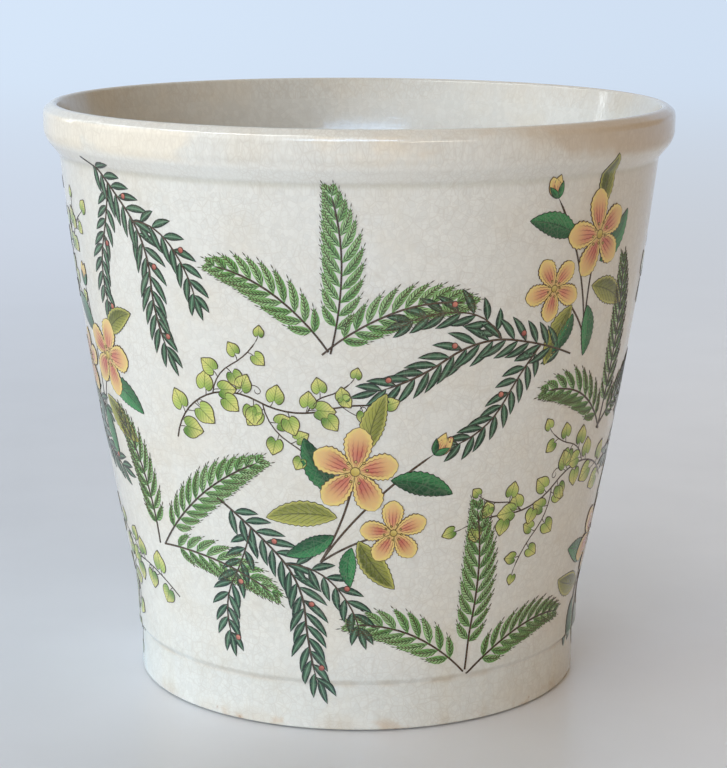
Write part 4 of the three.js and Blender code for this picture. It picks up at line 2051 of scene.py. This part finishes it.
@dataclass
class Studio:
    """The camera, the lamps, the pale surroundings and the table.

    Lengths are in metres and angles in degrees. Directions of the room point away from the pot.
    """

    camera_place: Place = (0.0, -0.9925, 0.3424)
    pitch: float = 12.055
    yaw: float = -0.14
    roll: float = 0.283
    focal_pixels: float = 2213.8
    sensor: float = 36.0
    clips: Range = (0.05, 50.0)
    brown_way: Place = (0.80, -0.58, 0.10)
    brown_from: Range = (-0.40, 0.75)
    pale: Colour = (0.60, 0.64, 0.69)
    brown: Colour = (0.31, 0.178, 0.045)
    bright_way: Place = (-0.77, -0.64, 0.0)
    bright_from: Range = (0.25, 0.80)
    bright_rise: Band = Band(0.31, 0.15, 0.36)
    bright: Colour = (2.44, 2.45, 2.40)
    table_half: Range = (4.0, 5.0)
    table_middle: float = 2.0
    wall_start: float = 3.4
    wall_radius: float = 1.6
    ground_half: float = 14.0
    ground_drop: float = 0.002

    def build(self) -> None:
        """Sets up everything around the object."""
        self.camera()
        self.surroundings()
        self.table()
        for lamp in LAMPS:
            lamp.build()

    def camera(self) -> None:
        """Places the camera where the photograph was taken from."""
        data = bpy.data.cameras.new("camera")
        data.sensor_fit = "HORIZONTAL"
        data.sensor_width = self.sensor
        data.lens = self.focal_pixels / IMAGE_WIDTH * self.sensor
        data.clip_start, data.clip_end = self.clips
        camera = in_scene("camera", data)
        turn = Matrix.Rotation(math.radians(self.yaw), 4, "Z")
        turn = turn @ Matrix.Rotation(math.radians(90.0 - self.pitch), 4, "X")
        turn = turn @ Matrix.Rotation(math.radians(self.roll), 4, "Z")
        camera.matrix_world = Matrix.Translation(self.camera_place) @ turn
        bpy.context.scene.camera = camera

    def surroundings(self) -> None:
        """Makes a pale room, bright at the front left, and browner and darker at the front right."""
        world = bpy.data.worlds.new("room")
        world.use_nodes = True
        bpy.context.scene.world = world
        graph = Graph(world.node_tree)
        way = graph.node("ShaderNodeTexCoord").outputs["Generated"]
        browner = graph.ease(graph.vector("DOT_PRODUCT", way, self.brown_way), *self.brown_from)
        x, y, rise = graph.parts(way)
        level = graph.vector("NORMALIZE", graph.whole(x, y, 0.0))
        wide = graph.ease(graph.vector("DOT_PRODUCT", level, self.bright_way), *self.bright_from)
        share = graph.times(wide, graph.band(rise, self.bright_rise))
        colour = graph.mix(share, graph.mix(browner, self.pale, self.brown), self.bright)
        background = world.node_tree.nodes["Background"]
        graph.feed(background.inputs["Color"], colour)
        graph.feed(background.inputs["Strength"], 1.0)

    def table(self) -> None:
        """Makes the table top, the pale wall that it runs into behind the pot, and the ground around."""
        bm = bmesh.new()
        bmesh.ops.create_grid(bm, x_segments=24, y_segments=64, size=1.0)
        bmesh.ops.scale(bm, vec=(*self.table_half, 1.0), verts=bm.verts)
        bmesh.ops.translate(bm, vec=(0.0, self.table_middle, 0.0), verts=bm.verts)
        start, radius, half = self.wall_start, self.wall_radius, self.ground_half
        under = Matrix.Translation((0.0, start - half, -self.ground_drop))
        bmesh.ops.create_grid(bm, x_segments=2, y_segments=2, size=half, matrix=under)
        for vert in bm.verts:
            over = vert.co.y - start
            if over > 0.0:
                angle = min(over / radius, math.pi / 2.0)
                rest = max(0.0, over - radius * math.pi / 2.0)
                vert.co.y = start + radius * math.sin(angle)
                vert.co.z = radius * (1.0 - math.cos(angle)) + rest
        mesh = made_mesh(bm, "table_and_backdrop")
        mesh.materials.append(TableFinish().build())
        table = in_scene("table_and_backdrop", mesh)


def main() -> None:
    """Builds the studio, the pot, the felt dots and the print, and reports each piece."""
    logging.basicConfig(level=logging.INFO, format="%(name)s %(message)s")
    bpy.context.scene.view_settings.view_transform = "Standard"
    Studio().build()
    low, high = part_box("pot")
    section = Section(rim_radius=high.x, top=high.z, foot_face=low.z)
    effects = Effects()
    pieces = PotShells(section, effects).build()
    pieces += FeltDots().build()
    pieces += Print(section, effects).build()
    LOG.info("%d pieces", len(pieces))


if __name__ == "__main__":
    main()
